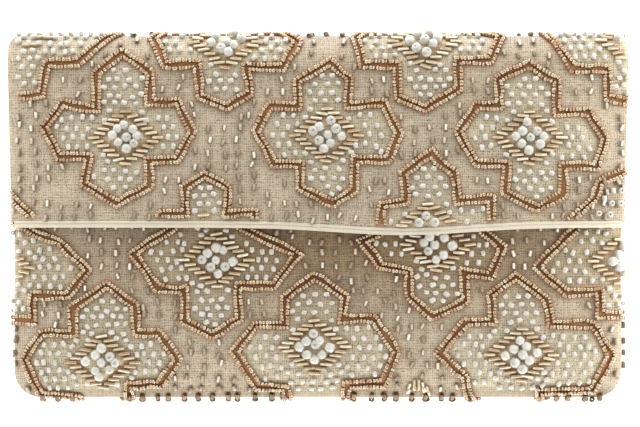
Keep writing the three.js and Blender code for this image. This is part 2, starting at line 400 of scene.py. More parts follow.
turn_share = 1 - TURN_UNDER / POUCH_HALF
column_share = np.sin(np.linspace(-math.pi / 2, math.pi / 2, FRONT_COLUMNS + 1))
left_turn = int(np.argmin(np.abs(column_share + turn_share)))
right_turn = FRONT_COLUMNS - left_turn
column_share[left_turn] = -turn_share
column_share[right_turn] = turn_share
row_y = MOUTH_Y - (MOUTH_Y - BOTTOM_Y) * np.sin(np.linspace(math.pi / 2, 0, FRONT_ROWS + 1))
bottom_turn = int(np.argmin(np.abs(row_y - BOTTOM_Y - TURN_UNDER)))
row_y[bottom_turn] = BOTTOM_Y + TURN_UNDER
across, level = np.meshgrid(column_share, row_y)
side = across * half_width(level)
front_points = np.stack([side, level, front_height(across, level)], axis=-1)
back_points = np.stack([side, level, back_height(across, level)], axis=-1)

middle_column = FRONT_COLUMNS // 2
chart_row = int(np.argmin(np.abs(row_y - CHART_ROW_Y)))
front_u = arc_lengths(front_points, 1)
front_u -= front_u[:, [middle_column]]
front_v = arc_lengths(front_points, 0)
front_v += row_y[chart_row] - front_v[[chart_row]]
front_chart = np.stack([front_u, front_v], axis=-1)

back_run = arc_lengths(back_points, 1)
left_u = front_u[:, [0]] - back_run
right_u = front_u[:, [-1]] + back_run[:, [-1]] - back_run
side_u = np.where(across < 0, left_u, right_u)
side_v = np.where(across < 0, front_v[:, [0]], front_v[:, [-1]])
side_chart = np.stack([side_u, side_v], axis=-1)
bottom_v = front_v[[0]] - arc_lengths(back_points, 0)
bottom_chart = np.stack([np.broadcast_to(front_u[[0]], bottom_v.shape), bottom_v], axis=-1)

front_numbers = np.arange(front_points[..., 0].size).reshape(level.shape)
back_numbers = front_numbers + front_numbers.size
back_numbers[:, [0, -1]] = front_numbers[:, [0, -1]]
back_numbers[0] = front_numbers[0]
front_quads, front_places = grid_quads(front_numbers, front_chart)
side_quads, side_places = grid_quads(back_numbers, side_chart, turned=True)
bottom_quads, bottom_places = grid_quads(back_numbers, bottom_chart, turned=True)

quad_column = np.arange(FRONT_COLUMNS)[None, :].repeat(FRONT_ROWS, axis=0)
quad_row = np.arange(FRONT_ROWS)[:, None].repeat(FRONT_COLUMNS, axis=1)
under_side = (quad_column < left_turn) | (quad_column >= right_turn)
under_bottom = (quad_row < bottom_turn) & ~under_side
parts = [(front_quads.reshape(-1, 4), front_places.reshape(-1, 4, 2))]
parts.append((side_quads[under_side], side_places[under_side]))
parts.append((bottom_quads[under_bottom], bottom_places[under_bottom]))
all_quads = np.concatenate([quads for quads, places in parts])
all_places = np.concatenate([places for quads, places in parts])
all_points = np.concatenate([front_points.reshape(-1, 3), back_points.reshape(-1, 3)])
front_weft = np.gradient(front_points, axis=1)
back_weft = np.gradient(back_points, axis=1) * np.where(np.abs(across) < turn_share, 1, -1)[..., None]
all_weft = np.concatenate([front_weft.reshape(-1, 3), back_weft.reshape(-1, 3)])
front_sewn = level < flap_edge_y(side) + BEADS_UNDER_FLAP
back_sewn = back_points[..., 2] > LOWEST_BEAD
all_sewn = np.concatenate([front_sewn.ravel(), back_sewn.ravel()])
used, renumbered = np.unique(all_quads, return_inverse=True)
front_cloth = cloth_skin(
    "front_cloth",
    all_points[used],
    renumbered.reshape(-1, 4),
    all_places,
    all_weft[used],
    all_sewn[used],
)

# %% [markdown]
# ## Back panel
# The back is a second piece of linen, sewn in behind the turned edges of the front. The clutch rests on
# it, so it is plain. It is the middle of the same loft, with a hair's gap at the seam.

# %% Back panel cloth
SEAM_GAP = 0.3
inside_back = (slice(bottom_turn, None), slice(left_turn, right_turn + 1))
back_part = back_points[inside_back].copy()
back_part[..., 0] *= 1 - SEAM_GAP / (POUCH_HALF - TURN_UNDER)
back_part[0, :, 1] += SEAM_GAP
back_part_numbers = np.arange(back_part[..., 0].size).reshape(back_part.shape[:2])
back_quads, back_places = grid_quads(back_part_numbers, back_part[..., :2], turned=True)
back_cloth = cloth_skin(
    "back_cloth",
    back_part.reshape(-1, 3),
    back_quads.reshape(-1, 4),
    back_places.reshape(-1, 4, 2),
    np.gradient(back_part, axis=1).reshape(-1, 3),
    np.zeros(back_part[..., 0].size),
)

# %% [markdown]
# ## Flap
# The flap is sewn to the back, rolls over the top in a soft fold and lies over the upper half of the
# front, a little wider than the pouch. Its outer face is made here; the cloth gets its thickness after
# the bead work, because the beads find their place on a single skin. A strip along its left side stays
# bare, as in the photograph.

# %% Flap cloth
FLAP_COLUMNS = 200
FOLD_ROWS = 46
RUN_ROWS = 60
EDGE_WITHOUT_BEADS = 1.5
BARE_MARGIN = {"side": 4.5, "corner": 1.5, "corner_y": 20}


def bare_margin(y):
    """Width of the strip without beads along the flap's left side, which is narrower at its corner."""
    return np.where(y < BARE_MARGIN["corner_y"], BARE_MARGIN["corner"], BARE_MARGIN["side"])


def flap_middle(side_share, along):
    """Middle of the flap's cloth: along goes from 0 at the seam to 1 past the fold and 2 at the edge."""
    down = np.clip(along - 1, 0, 1)
    half = FLAP_HALF + (FLAP_EDGE_HALF - FLAP_HALF) * down
    angle = math.pi * np.clip(along, 0, 1)
    drawn_in = FLAP_CORNER["draw_in"] * np.sin(angle) ** FLAP_CORNER["power"]
    x = side_share * (half - np.where(along < 1, drawn_in, 0))
    run_y = MOUTH_Y + (flap_edge_y(x) - MOUTH_Y) * down
    fold_depth = TOP_Y - CLOTH / 2 - FLAP_SEAM_Y + SEAM_ABOVE_MOUTH / 2
    fold_y = FLAP_SEAM_Y - SEAM_ABOVE_MOUTH * np.clip(along, 0, 1) + fold_depth * np.sin(angle)
    low = CLOTH / 2
    fold_z = low + (flap_height(x, MOUTH_Y) - low) * (1 - np.cos(angle)) / 2
    on_fold = along < 1
    y = np.where(on_fold, fold_y, run_y)
    z = np.where(on_fold, fold_z, flap_height(x, run_y))
    return np.stack([x, y, z], axis=-1)


run_along = np.linspace(2, 1, RUN_ROWS + 1)
fold_along = np.linspace(1, 0, FOLD_ROWS + 1)[1:]
flap_side, flap_along = np.meshgrid(
    np.linspace(-1, 1, FLAP_COLUMNS + 1), np.concatenate([run_along, fold_along])
)
flap_points = flap_middle(flap_side, flap_along)
flap_weft = np.gradient(flap_points, axis=1)
flap_warp = np.gradient(flap_points, axis=0)
flap_points += unit(np.cross(flap_weft, flap_warp)) * CLOTH / 2

flap_u = arc_lengths(flap_points, 1)
flap_u -= flap_u[:, [FLAP_COLUMNS // 2]]
flap_v = arc_lengths(flap_points, 0)
flap_v += MOUTH_Y - flap_v[[RUN_ROWS]]
flap_v[:RUN_ROWS] = flap_points[:RUN_ROWS, :, 1]
flap_chart = np.stack([flap_u, flap_v], axis=-1)
flap_numbers = np.arange(flap_points[..., 0].size).reshape(flap_side.shape)
flap_quads, flap_places = grid_quads(flap_numbers, flap_chart)
above_edge = flap_points[..., 1] - flap_edge_y(flap_points[..., 0])
flap_sewn = above_edge > EDGE_WITHOUT_BEADS
flap_sewn &= flap_points[..., 0] > bare_margin(flap_points[..., 1]) - FLAP_HALF
flap_sewn &= (flap_along > 0.5) | (flap_points[..., 2] > LOWEST_BEAD)
flap_cloth = cloth_skin(
    "flap_cloth",
    flap_points.reshape(-1, 3),
    flap_quads.reshape(-1, 4),
    flap_places.reshape(-1, 4, 2),
    flap_weft.reshape(-1, 3),
    flap_sewn.ravel(),
)

# %% [markdown]
# ## Piping
# The flap's edge is finished with a cream bias strip: a narrow facing sewn flat on the linen, and a roll
# round the raw edge with a groove between them. Each is a small section swept along the edge, which is
# plain mesh code: one ring of points at every station, and a cap at both ends.

# %% Piping of the flap's edge
PIPING_STATIONS = 150
PIPING_HALF = FLAP_EDGE_HALF - 0.9
ROLL_RADIUS = 1.1
ROLL_DROP = 0.3 + ROLL_RADIUS
ROLL_SIDES = 14
FACING_WIDTH = 1.3
FACING_THICKNESS = 0.5
FACING_SIDES = 10
FACING_OVERLAP = 0.6
FACING_LIFT = 0.1
FACING_SQUARENESS = 0.5


def oval_section(sides, half_across, half_high, squareness):
    """A ring of (across, high) points, round at squareness 1 and boxy at a low one."""
    angles = np.linspace(0, 2 * math.pi, sides, endpoint=False)
    across_ring = half_across * np.sign(np.cos(angles)) * np.abs(np.cos(angles)) ** squareness
    high_ring = half_high * np.sign(np.sin(angles)) * np.abs(np.sin(angles)) ** squareness
    return np.stack([across_ring, high_ring], axis=-1)


def sweep(section, centres):
    """Points and faces of a section carried along centres, with both ends capped."""
    rings = np.repeat(centres[:, None, :], len(section), axis=1)
    rings[..., 1] += section[:, 0]
    rings[..., 2] += section[:, 1]
    count = len(section)
    faces = []
    for station in range(len(centres) - 1):
        for corner in range(count):
            following = (corner + 1) % count
            near, far = station * count, (station + 1) * count
            faces.append([near + corner, near + following, far + following, far + corner])
    faces.append(list(range(count))[::-1])
    faces.append([(len(centres) - 1) * count + corner for corner in range(count)])
    return rings.reshape(-1, 3), faces


edge_x = np.linspace(-PIPING_HALF, PIPING_HALF, PIPING_STATIONS)
edge_y = flap_edge_y(edge_x)
edge_z = flap_height(edge_x, edge_y)
roll_path = np.stack([edge_x, edge_y - ROLL_DROP, edge_z], axis=-1)
facing_y = edge_y - FACING_OVERLAP + FACING_WIDTH / 2
facing_path = np.stack([edge_x, facing_y, edge_z + CLOTH / 2 + FACING_LIFT], axis=-1)
roll_points, roll_faces = sweep(oval_section(ROLL_SIDES, ROLL_RADIUS, ROLL_RADIUS, 1), roll_path)
facing_ring = oval_section(FACING_SIDES, FACING_WIDTH / 2, FACING_THICKNESS / 2, FACING_SQUARENESS)
facing_points, facing_faces = sweep(facing_ring, facing_path)
facing_faces = [[number + len(roll_points) for number in face] for face in facing_faces]
piping_mesh = bpy.data.meshes.new("flap_piping_roll")
piping_points = np.concatenate([roll_points, facing_points]) * MM
piping_mesh.from_pydata(piping_points.tolist(), [], roll_faces + facing_faces)
piping_mesh.shade_smooth()
piping = add_object("flap_piping_roll", piping_mesh)
print("piping runs", round(2 * PIPING_HALF), "mm along the flap's edge")

# %% [markdown]
# ## Bead shapes
# Each bead is a small ring turned round its hole, which lies along X: a round copper seed, longer white
# and smoky seeds, a bugle cut from a glass tube, and a fat pearl. A lathe makes all five from a few
# points of profile. They are repeated thousands of times, so each has only a few dozen faces.

# %% Turn the beads
def lathe(name, profile, sides):
    """A closed ring turned about X from (along, radius) points in millimetres."""
    angles = np.linspace(0, 2 * math.pi, sides, endpoint=False)
    points = [
        (along * MM, radius * math.cos(angle) * MM, radius * math.sin(angle) * MM)
        for along, radius in profile
        for angle in angles
    ]
    faces = []
    for ring in range(len(profile)):
        near = ring * sides
        far = (ring + 1) % len(profile) * sides
        for corner in range(sides):
            following = (corner + 1) % sides
            faces.append([near + following, near + corner, far + corner, far + following])
    mesh = bpy.data.meshes.new(name)
    mesh.from_pydata(points, [], faces)
    mesh.shade_smooth()
    widest = max(radius for along, radius in profile)
    longest = max(along for along, radius in profile)
    # crown and along place each finish's painted highlight and painted shade on the bead.
    set_attribute(mesh, "crown", "FLOAT", [max(0.0, point[2] / (widest * MM)) for point in points])
    set_attribute(mesh, "along", "FLOAT", [point[0] / (longest * MM) for point in points])
    print(name, "has", len(mesh.polygons), "faces")
    return add_object(name, mesh)


def seed_profile(length, radius, hole, shoulder):
    """A seed bead's section: hole, face, shoulder, shoulder, face, hole. A low shoulder is rounder."""
    half = length / 2
    rim = hole + 0.45 * (radius - hole)
    return [
        (-0.8 * half, hole),
        (-half, rim),
        (-shoulder * half, radius),
        (shoulder * half, radius),
        (half, rim),
        (0.8 * half, hole),
    ]


def tube_profile(length, radius, hole):
    """A bugle's section: a straight tube with its edges just broken."""
    half = length / 2
    return [(-half, hole), (-half, 0.8 * radius), (-half + 0.15, radius), (half - 0.15, radius),
            (half, 0.8 * radius), (half, hole)]


Size = namedtuple("Size", "length radius hole")
SEED = Size(1.52, 1.06, 0.42)
WHITE = Size(2.7, 1.15, 0.33)
SMOKY = Size(2.9, 1.02, 0.35)
BUGLE = Size(5.4, 0.86, 0.42)
PEARL = Size(4.1, 2.22, 0.32)

seed_bead = lathe("seed_shape", seed_profile(*SEED, shoulder=0.42), 8)
white_bead = lathe("white_shape", seed_profile(*WHITE, shoulder=0.66), 8)
smoky_bead = lathe("smoky_shape", seed_profile(*SMOKY, shoulder=0.8), 8)
bugle_bead = lathe("bugle_shape", tube_profile(*BUGLE), 8)
pearl_half = PEARL.length / 2
pearl_profile = [(-0.94 * pearl_half, PEARL.hole), (-pearl_half, 0.42 * PEARL.radius)]
pearl_profile += [(-0.8 * pearl_half, 0.8 * PEARL.radius), (-0.35 * pearl_half, PEARL.radius)]
pearl_profile += [(-along, radius) for along, radius in reversed(pearl_profile)]
pearl_bead = lathe("pearl_shape", pearl_profile, 12)

# %% [markdown]
# ## Bead finishes
# Glass beads bend the light of the tent: copper glass shows a bright ring with a dark eye, smoky glass a
# streak between dark flanks, and white glass a soft glow. On a bead two millimetres wide that is all one
# sees, so each finish paints that light and shade into its colour: a painted highlight on the crown,
# painted shade on the flanks, a painted dark eye in the copper ring and painted dark ends on smoky seeds.
# Crown is how high on the bead a point is, along how far from its middle. Beads from one bag are never
# quite alike, so the painted highlight colour runs over tone, a number that every bead gets when it is
# sewn on.

# %% Finishes of the beads
# Shape of the painted dark eye in a bead's highlight and of the painted shade at a bead's ends.
EYE_SLOPE = 2.2
EYE_STRETCH = 0.35
EYE_RIM = (0.08, 0.42)
END_RIM = (0.62, 0.9)


def bead_value(tree, name):
    """A number that each bead or each point of a bead carries."""
    return add_node(tree, "ShaderNodeAttribute", attribute_name=name).outputs["Fac"]


def glass_coat(ior, weight=1.0, roughness=0.05):
    """Settings of the clear outer face of a glass bead."""
    return {"Coat_IOR": ior, "Coat_Weight": weight, "Coat_Roughness": roughness}


def bead_finish(name, flank, stops, lit, eye=0.0, ends=0.0, **settings):
    """A bead material: a painted shade colour on the flanks, painted highlight (tone, colour) stops on the
    crown, and a painted dark eye and painted dark ends.
    """
    material, tree, shader = new_material(name, **settings)
    highlight_colour = colour_ramp(tree, bead_value(tree, "tone"), stops)
    crown = bead_value(tree, "crown")
    along = bead_value(tree, "along")
    squared = math_node(tree, "MULTIPLY", along, along)
    # Painted highlight on the crown with a painted dark eye in it, and painted shade at the ends:
    from_top = math_node(tree, "MULTIPLY_ADD", crown, -EYE_SLOPE, EYE_SLOPE)
    from_eye = math_node(tree, "MULTIPLY_ADD", squared, EYE_STRETCH, from_top)
    bright = map_range(tree, crown, *lit, curve="SMOOTHSTEP")
    off_eye = map_range(tree, from_eye, *EYE_RIM, start=1 - eye, curve="SMOOTHSTEP")
    off_ends = map_range(tree, squared, *END_RIM, start=1.0, end=1 - ends, curve="SMOOTHSTEP")
    factor = math_node(tree, "MULTIPLY", bright, math_node(tree, "MULTIPLY", off_eye, off_ends))
    colours = {"Factor": factor, "A": (*flank, 1), "B": highlight_colour}
    colour = add_node(tree, "ShaderNodeMix", colours, data_type="RGBA")
    tree.links.new(socket_named(colour.outputs, "Result"), shader.inputs["Base Color"])
    return material


# Each finish: a painted shade colour for the flanks, then painted highlight stops over tone for the crown.
copper_glass = bead_finish(
    "copper_glass",
    (0.36, 0.185, 0.097),
    [(0.0, (0.58, 0.37, 0.2)), (0.45, (0.86, 0.66, 0.41)), (1.0, (1.0, 0.92, 0.69))],
    lit=(0.3, 0.78),
    eye=0.85,
    Metallic=0.6,
    Roughness=0.14,
    **glass_coat(1.8),
)
white_glass = bead_finish(
    "white_glass",
    (0.63, 0.59, 0.51),
    [(0.0, (0.61, 0.585, 0.475)), (0.3, (0.69, 0.64, 0.565)), (0.6, (0.72, 0.685, 0.605)),
     (0.85, (0.75, 0.66, 0.63)), (1.0, (0.7, 0.7, 0.66))],
    lit=(0.3, 0.98),
    Roughness=0.25,
    Transmission_Weight=0.2,
    **glass_coat(1.7),
)
gold_satin = bead_finish(
    "gold_satin",
    (0.43, 0.3, 0.165),
    [(0.0, (0.7, 0.56, 0.36)), (0.5, (0.88, 0.77, 0.56)), (1.0, (1.0, 0.95, 0.8))],
    lit=(0.52, 0.96),
    Metallic=0.45,
    Roughness=0.26,
    **glass_coat(1.6, roughness=0.08),
)
smoky_glass = bead_finish(
    "smoky_glass",
    (0.18, 0.127, 0.082),
    [(0.0, (0.32, 0.23, 0.145)), (0.35, (0.48, 0.37, 0.26)), (0.65, (0.7, 0.58, 0.44)),
     (1.0, (0.96, 0.89, 0.76))],
    lit=(0.66, 0.94),
    ends=0.8,
    Roughness=0.3,
    Transmission_Weight=0.15,
    **glass_coat(1.4, weight=0.5),
)
# A darker brown finish for the hem beads: partly the beads' own brown, partly painted shade.
brown_glass = bead_finish(
    "brown_glass",
    (0.13, 0.075, 0.035),
    [(0.0, (0.19, 0.12, 0.065)), (1.0, (0.34, 0.24, 0.15))],
    lit=(0.35, 0.9),
    Roughness=0.5,
    Specular_IOR_Level=0.25,
)
pearl_glass = bead_finish(
    "pearl_glass",
    (0.66, 0.65, 0.58),
    [(0.0, (0.72, 0.72, 0.65)), (1.0, (0.84, 0.83, 0.76))],
    lit=(0.25, 0.98),
    Roughness=0.3,
    Transmission_Weight=0.35,
    **glass_coat(1.7),
)
print("bead finishes:", [m.name for m in bpy.data.materials if m.name.endswith(("glass", "satin"))])

# %% [markdown]
# ## Sewing beads with Geometry Nodes
# Two trees sew all the beads. The first strings beads along lines drawn on the flat chart: it turns the
# lines into curves and puts a point at every bead. The second takes single points. Both hand their
# points to the same last steps: look up each flat place on the cloth's chart, which gives the place, the
# weft and the normal of the made-up cloth, turn the bead to them, and set it down. Realizing the
# instances makes one plain mesh of them.

# %% The trees that sew
def sample_cloth(tree, cloth, chart, flat_place, value, kind="FLOAT_VECTOR"):
    """What the made-up cloth has at a flat place of its chart."""
    inputs = {"Mesh": cloth, "Value": value, "UV Map": chart, "Sample UV": flat_place}
    return add_node(tree, "GeometryNodeSampleUVSurface", inputs, data_type=kind)


def named(tree, name, kind):
    """An attribute of the geometry, by name."""
    return add_node(tree, "GeometryNodeInputNamedAttribute", {"Name": name}, data_type=kind).outputs[0]


def random_number(tree, low, high, seed):
    """A random number for each bead, the same in every run."""
    limits = {"Min": low, "Max": high, "Seed": seed}
    node = add_node(tree, "FunctionNodeRandomValue", limits, data_type="FLOAT")
    return socket_named(node.outputs, "Value")


STRUNG_TIP = 0.6
STRUNG_SIZES = (0.88, 1.1)
SEWING_INPUTS = [
    ("Geometry", "NodeSocketGeometry"),
    ("Cloth", "NodeSocketObject"),
    ("Bead", "NodeSocketObject"),
    ("Pitch", "NodeSocketFloat"),
    ("Lift", "NodeSocketFloat"),
    ("Looseness", "NodeSocketFloat"),
    ("Seed", "NodeSocketInt"),
    ("Finish", "NodeSocketMaterial"),
]


def sewing_tree(name, strung):
    """A tree that sews beads on a cloth, strung along lines or one at each point."""
    tree = bpy.data.node_groups.new(name, "GeometryNodeTree")
    for socket_name, socket_type in SEWING_INPUTS:
        tree.interface.new_socket(name=socket_name, in_out="INPUT", socket_type=socket_type)
    tree.interface.new_socket(name="Geometry", in_out="OUTPUT", socket_type="NodeSocketGeometry")
    given = tree.nodes.new("NodeGroupInput").outputs
    cloth = add_node(tree, "GeometryNodeObjectInfo", {"Object": given["Cloth"]}).outputs["Geometry"]
    bead = add_node(tree, "GeometryNodeObjectInfo", {"Object": given["Bead"]}).outputs["Geometry"]
    flat_place = tree.nodes.new("GeometryNodeInputPosition").outputs[0]
    chart = named(tree, "chart", "FLOAT_VECTOR")

    if strung:
        curve = add_node(tree, "GeometryNodeMeshToCurve", {"Mesh": given["Geometry"]}).outputs[0]
        spaced = {"Curve": curve, "Length": given["Pitch"]}
        points = add_node(tree, "GeometryNodeCurveToPoints", spaced, mode="LENGTH").outputs
        way = add_node(tree, "ShaderNodeSeparateXYZ", {0: points["Tangent"]}).outputs
        heading = math_node(tree, "ARCTAN2", way["Y"], way["X"])
        wobble = random_number(tree, -1.0, 1.0, given["Seed"])
        turned = math_node(tree, "MULTIPLY_ADD", wobble, given["Looseness"], heading)
        tipped = random_number(tree, -STRUNG_TIP, STRUNG_TIP, given["Seed"])
        turn = add_node(tree, "ShaderNodeCombineXYZ", {"Y": tipped, "Z": turned}).outputs[0]
        size = random_number(tree, *STRUNG_SIZES, given["Seed"])
        lift = given["Lift"]
        bead_points = points["Points"]
    else:
        turn = named(tree, "turn", "FLOAT_VECTOR")
        size = named(tree, "size", "FLOAT")
        lift = named(tree, "lift", "FLOAT")
        bead_points = given["Geometry"]

    position = tree.nodes.new("GeometryNodeInputPosition").outputs[0]
    place = sample_cloth(tree, cloth, chart, flat_place, position)
    normal = tree.nodes.new("GeometryNodeInputNormal").outputs["Normal"]
    outward = sample_cloth(tree, cloth, chart, flat_place, normal).outputs["Value"]
    weft = sample_cloth(tree, cloth, chart, flat_place, named(tree, "crosswise", "FLOAT_VECTOR"))
    beaded = sample_cloth(tree, cloth, chart, flat_place, named(tree, "beaded", "FLOAT"), "FLOAT")
    halfway = {"A": beaded.outputs["Value"], "B": 0.5}
    sewn_here = add_node(tree, "FunctionNodeCompare", halfway, operation="GREATER_THAN").outputs[0]
    both = {0: sewn_here, 1: beaded.outputs["Is Valid"]}
    on_cloth = add_node(tree, "FunctionNodeBooleanMath", both, operation="AND").outputs[0]
    axes = {"Primary Axis": weft.outputs["Value"], "Secondary Axis": outward}
    laid = add_node(tree, "FunctionNodeAxesToRotation", axes, primary_axis="X", secondary_axis="Z").outputs[0]
    own_turn = add_node(tree, "FunctionNodeEulerToRotation", {"Euler": turn}).outputs[0]
    turns = {"Rotation": laid, "Rotate By": own_turn}
    rotation = add_node(tree, "FunctionNodeRotateRotation", turns, rotation_space="LOCAL").outputs[0]
    placed = {"Points": bead_points, "Selection": on_cloth, "Instance": bead}
    placed.update({"Rotation": rotation, "Scale": size})
    beads = add_node(tree, "GeometryNodeInstanceOnPoints", placed).outputs[0]
    raised = vector_math(tree, "SCALE", outward, lift)
    seat = vector_math(tree, "ADD", place.outputs["Value"], raised)
    beads = add_node(tree, "GeometryNodeSetPosition", {"Geometry": beads, "Position": seat}).outputs[0]
    toned = {"Geometry": beads, "Name": "tone", "Value": random_number(tree, 0.0, 1.0, given["Seed"])}
    store = add_node(tree, "GeometryNodeStoreNamedAttribute", toned, data_type="FLOAT", domain="INSTANCE")
    beads = add_node(tree, "GeometryNodeRealizeInstances", {"Geometry": store.outputs[0]}).outputs[0]
    finished = {"Geometry": beads, "Material": given["Finish"]}
    beads = add_node(tree, "GeometryNodeSetMaterial", finished).outputs[0]
    add_node(tree, "NodeGroupOutput", {"Geometry": beads})
    return tree


string_tree = sewing_tree("string_beads", strung=True)
point_tree = sewing_tree("sew_single_beads", strung=False)
print("trees:", string_tree.name, "and", point_tree.name)

# %% [markdown]
# ## Running a tree
# A modifier runs a tree on a flat pattern. Its inputs are set by the identifiers of their sockets. The
# evaluated result is copied to a plain mesh, so the piece needs neither the pattern nor the modifier.

# %% Run a tree and keep its mesh
bead_pieces = []


def sew(name, tree, pattern, finish_slot, **settings):
    """Runs a tree on a flat pattern and keeps the beads as one plain mesh."""
    flat = add_object(name + "_pattern", pattern)
    modifier = flat.modifiers.new("sewing", "NODES")
    modifier.node_group = tree
    for item in tree.interface.items_tree:
        if item.in_out == "INPUT" and item.name in settings:
            modifier[item.identifier] = settings[item.name]
    evaluated = flat.evaluated_get(bpy.context.evaluated_depsgraph_get())
    mesh = bpy.data.meshes.new_from_object(evaluated)
    mesh.name = name
    bpy.data.objects.remove(flat)
    piece = add_object(name, mesh)
    mesh.shade_smooth()
    bead_pieces.append((piece, finish_slot))
    print(name, "has", sum(len(face.vertices) - 2 for face in mesh.polygons), "triangles")
    return piece


# %% [markdown]
# ## The motif
# The motif is an old one: a cross whose arms end in points. Each was sewn by eye and no two are alike, so
# the table gives the corners of every cross, in millimetres on the flat chart. Its x and y are the middle
# of the filling, arm is half the breadth of the upright arm, and knot is False where the middle lies
# beyond the cloth. Crosses run over the folds, under the flap and past the edges, where corners are a
# guess and the cloth cuts them off.

# %% Table of crosses
Cross = namedtuple("Cross", "cloth x y arm knot corners")
CROSSES = [
    Cross("flap", -86.5, 35.5, 12, True, [
        (-123, 40), (-114.5, 51), (-99.5, 48), (-99.5, 64.5), (-88, 73.5), (-75, 65), (-75.5, 51),
        (-63, 51.5), (-56.5, 38), (-63.5, 25.5), (-76, 25), (-75.5, 14), (-90, 6), (-105, 14.5),
        (-102.5, 27), (-116.5, 27)]),
    Cross("flap", 4, 36.5, 12, True, [
        (-28, 38.5), (-21.5, 50), (-9, 49), (-9, 60.5), (5, 69.5), (14, 62), (13.5, 50), (29.5, 51),
        (36.5, 37.5), (31, 25.5), (16.5, 25.5), (16.5, 12.5), (6.5, 5.5), (-8, 13), (-8, 23.5),
        (-19.5, 23.5)]),
    Cross("flap", 95, 35.5, 13, True, [
        (63, 38), (71.5, 50), (81.5, 50), (81, 62), (95, 68.5), (107, 61), (107, 47), (121.5, 47),
        (129, 35), (125, 22.5), (110, 23), (110, 10), (98.5, 3.5), (84, 11), (85, 23.5), (71, 24)]),
    Cross("flap", -137, 82, 13, False, [
        (-90.5, 85), (-108, 69), (-122, 69), (-124.5, 55), (-135, 54), (-150, 53.5), (-150, 110),
        (-108, 101)]),
    Cross("flap", -41.5, 78.7, 11, True, [
        (-74, 81), (-69, 68), (-54, 68.5), (-53, 54), (-41, 49), (-30.5, 55), (-32, 67.5), (-16, 67),
        (-9, 79), (-17.5, 87), (-31, 90), (-31, 110), (-54, 110), (-54, 90), (-66, 90)]),
    Cross("flap", 48, 79.2, 13.5, True, [
        (16.5, 81), (20.5, 68), (35.5, 68), (36, 53.5), (48, 48.5), (63, 57.5), (63, 69.5), (77.5, 70),
        (82.5, 82.5), (73.5, 87), (62, 92), (62, 110), (36, 110), (36, 92), (22, 87)]),
    Cross("flap", 142, 79.5, 12, True, [
        (102, 85.5), (114.5, 66.5), (130, 66.5), (130.5, 53.5), (139.5, 51.5), (155, 47), (155, 110),
        (110, 105)]),
    Cross("flap", -51, -11, 10, True, [
        (-51, 18.5), (-60, 13), (-59.5, 1.5), (-70.5, 1), (-72, -4), (-72, -15), (-60, -15), (-60, -28),
        (-40, -28), (-40, -15), (-28, -15), (-28.5, -4), (-28.5, 2), (-41, 1.5), (-40.5, 13)]),
    Cross("flap", 49.5, -6, 12, True, [
        (50.5, 28.5), (38.5, 19.5), (39, 6.5), (29, 5.5), (28, -3), (28, -17), (39, -17), (39, -30),
        (63, -30), (63, -17), (78, -17), (78, -1), (78, 8.5), (63, 7), (61, 19)]),
    Cross("flap", -140.5, -25, 12, False, [
        (-141.5, 12), (-129.5, 0.5), (-129.5, -20), (-150, -20), (-150, 12)]),
    Cross("front", -144.5, -23, 15.5, True, [
        (-131, -5.5), (-116.5, -11.5), (-103.5, -24), (-113, -35.5), (-128.5, -35.5), (-128.5, -46.5),
        (-165, -46.5), (-165, 4), (-150, 3)]),
    Cross("front", -97, -65.5, 14, True, [
        (-132.5, -64.5), (-124.5, -52.5), (-110, -52.5), (-110.5, -41), (-95, -30.5), (-82.5, -40),
        (-81.5, -52.5), (-71.5, -52.5), (-63, -64), (-71.5, -75.5), (-85.5, -76), (-84.5, -95),
        (-108, -95), (-108, -83.5), (-124.5, -81.5)]),
    Cross("front", -45.5, -19.5, 12, True, [
        (-9, -17), (-20, -31), (-36, -31), (-35.5, -45.5), (-47.5, -53.5), (-60, -47), (-60, -32.5),
        (-72, -32.5), (-83, -16.5), (-66.5, -6), (-60, -1), (-60, 12), (-36, 12), (-36, -4)]),
    Cross("front", -1.5, -58.5, 13, True, [
        (-37.5, -60.5), (-28, -48.5), (-15, -48.5), (-15, -37), (-2, -26.5), (12.5, -36), (11, -45.5),
        (25, -46), (35.5, -61), (29, -75), (12.5, -75.5), (12.5, -95), (-14, -95), (-14.5, -77.5),
        (-27, -76.5)]),
    Cross("front", 53.5, -12.5, 12.5, True, [
        (20, -10.5), (28, -22), (40.5, -24.5), (41, -36), (51.5, -45), (66.5, -37.5), (65.5, -25),
        (77.5, -26.5), (83, -14), (75, -7), (66, 0), (66, 12), (40, 12), (40, -2)]),
    Cross("front", 91.5, -62, 13, True, [
        (54.5, -61.5), (66, -47.5), (78.5, -47), (77.5, -35), (89, -27), (103, -37.5), (104.5, -48.5),
        (123.5, -48.5), (132, -62.5), (123.5, -78.5), (100, -80), (99.5, -95), (70.5, -95), (66, -72)]),
    Cross("front", 138, -20, 11, True, [
        (115, -5.5), (98.5, -22.5), (111.5, -34.5), (127, -33.5), (127, -44), (165, -45), (165, 6),
        (126, 6)]),
]
CORNER_BAND = [(138.5, 21), (126.5, 15), (124, 8), (113, -1.5)]
CROSSES_ON = {name: [cross for cross in CROSSES if cross.cloth == name] for name in ("flap", "front")}
HAND = np.random.default_rng(7)


def outline(cross):
    """The corners of a cross, in order round it, on the flat chart."""
    return np.array(cross.corners, dtype=float)


def offset_line(corners, distance, closed=True):
    """The same line moved sideways, outwards for a positive distance round a closed outline."""
    ways = unit(np.roll(corners, -1, axis=0) - corners)
    if not closed:
        ways[-1] = ways[-2]
    before = np.roll(ways, 1, axis=0)
    if not closed:
        before[0] = ways[0]
    out_before = np.stack([before[:, 1], -before[:, 0]], axis=-1)
    out_after = np.stack([ways[:, 1], -ways[:, 0]], axis=-1)
    spread = 1 + np.sum(out_before * out_after, axis=-1, keepdims=True)
    return corners + distance * (out_before + out_after) / np.maximum(spread, 0.3)


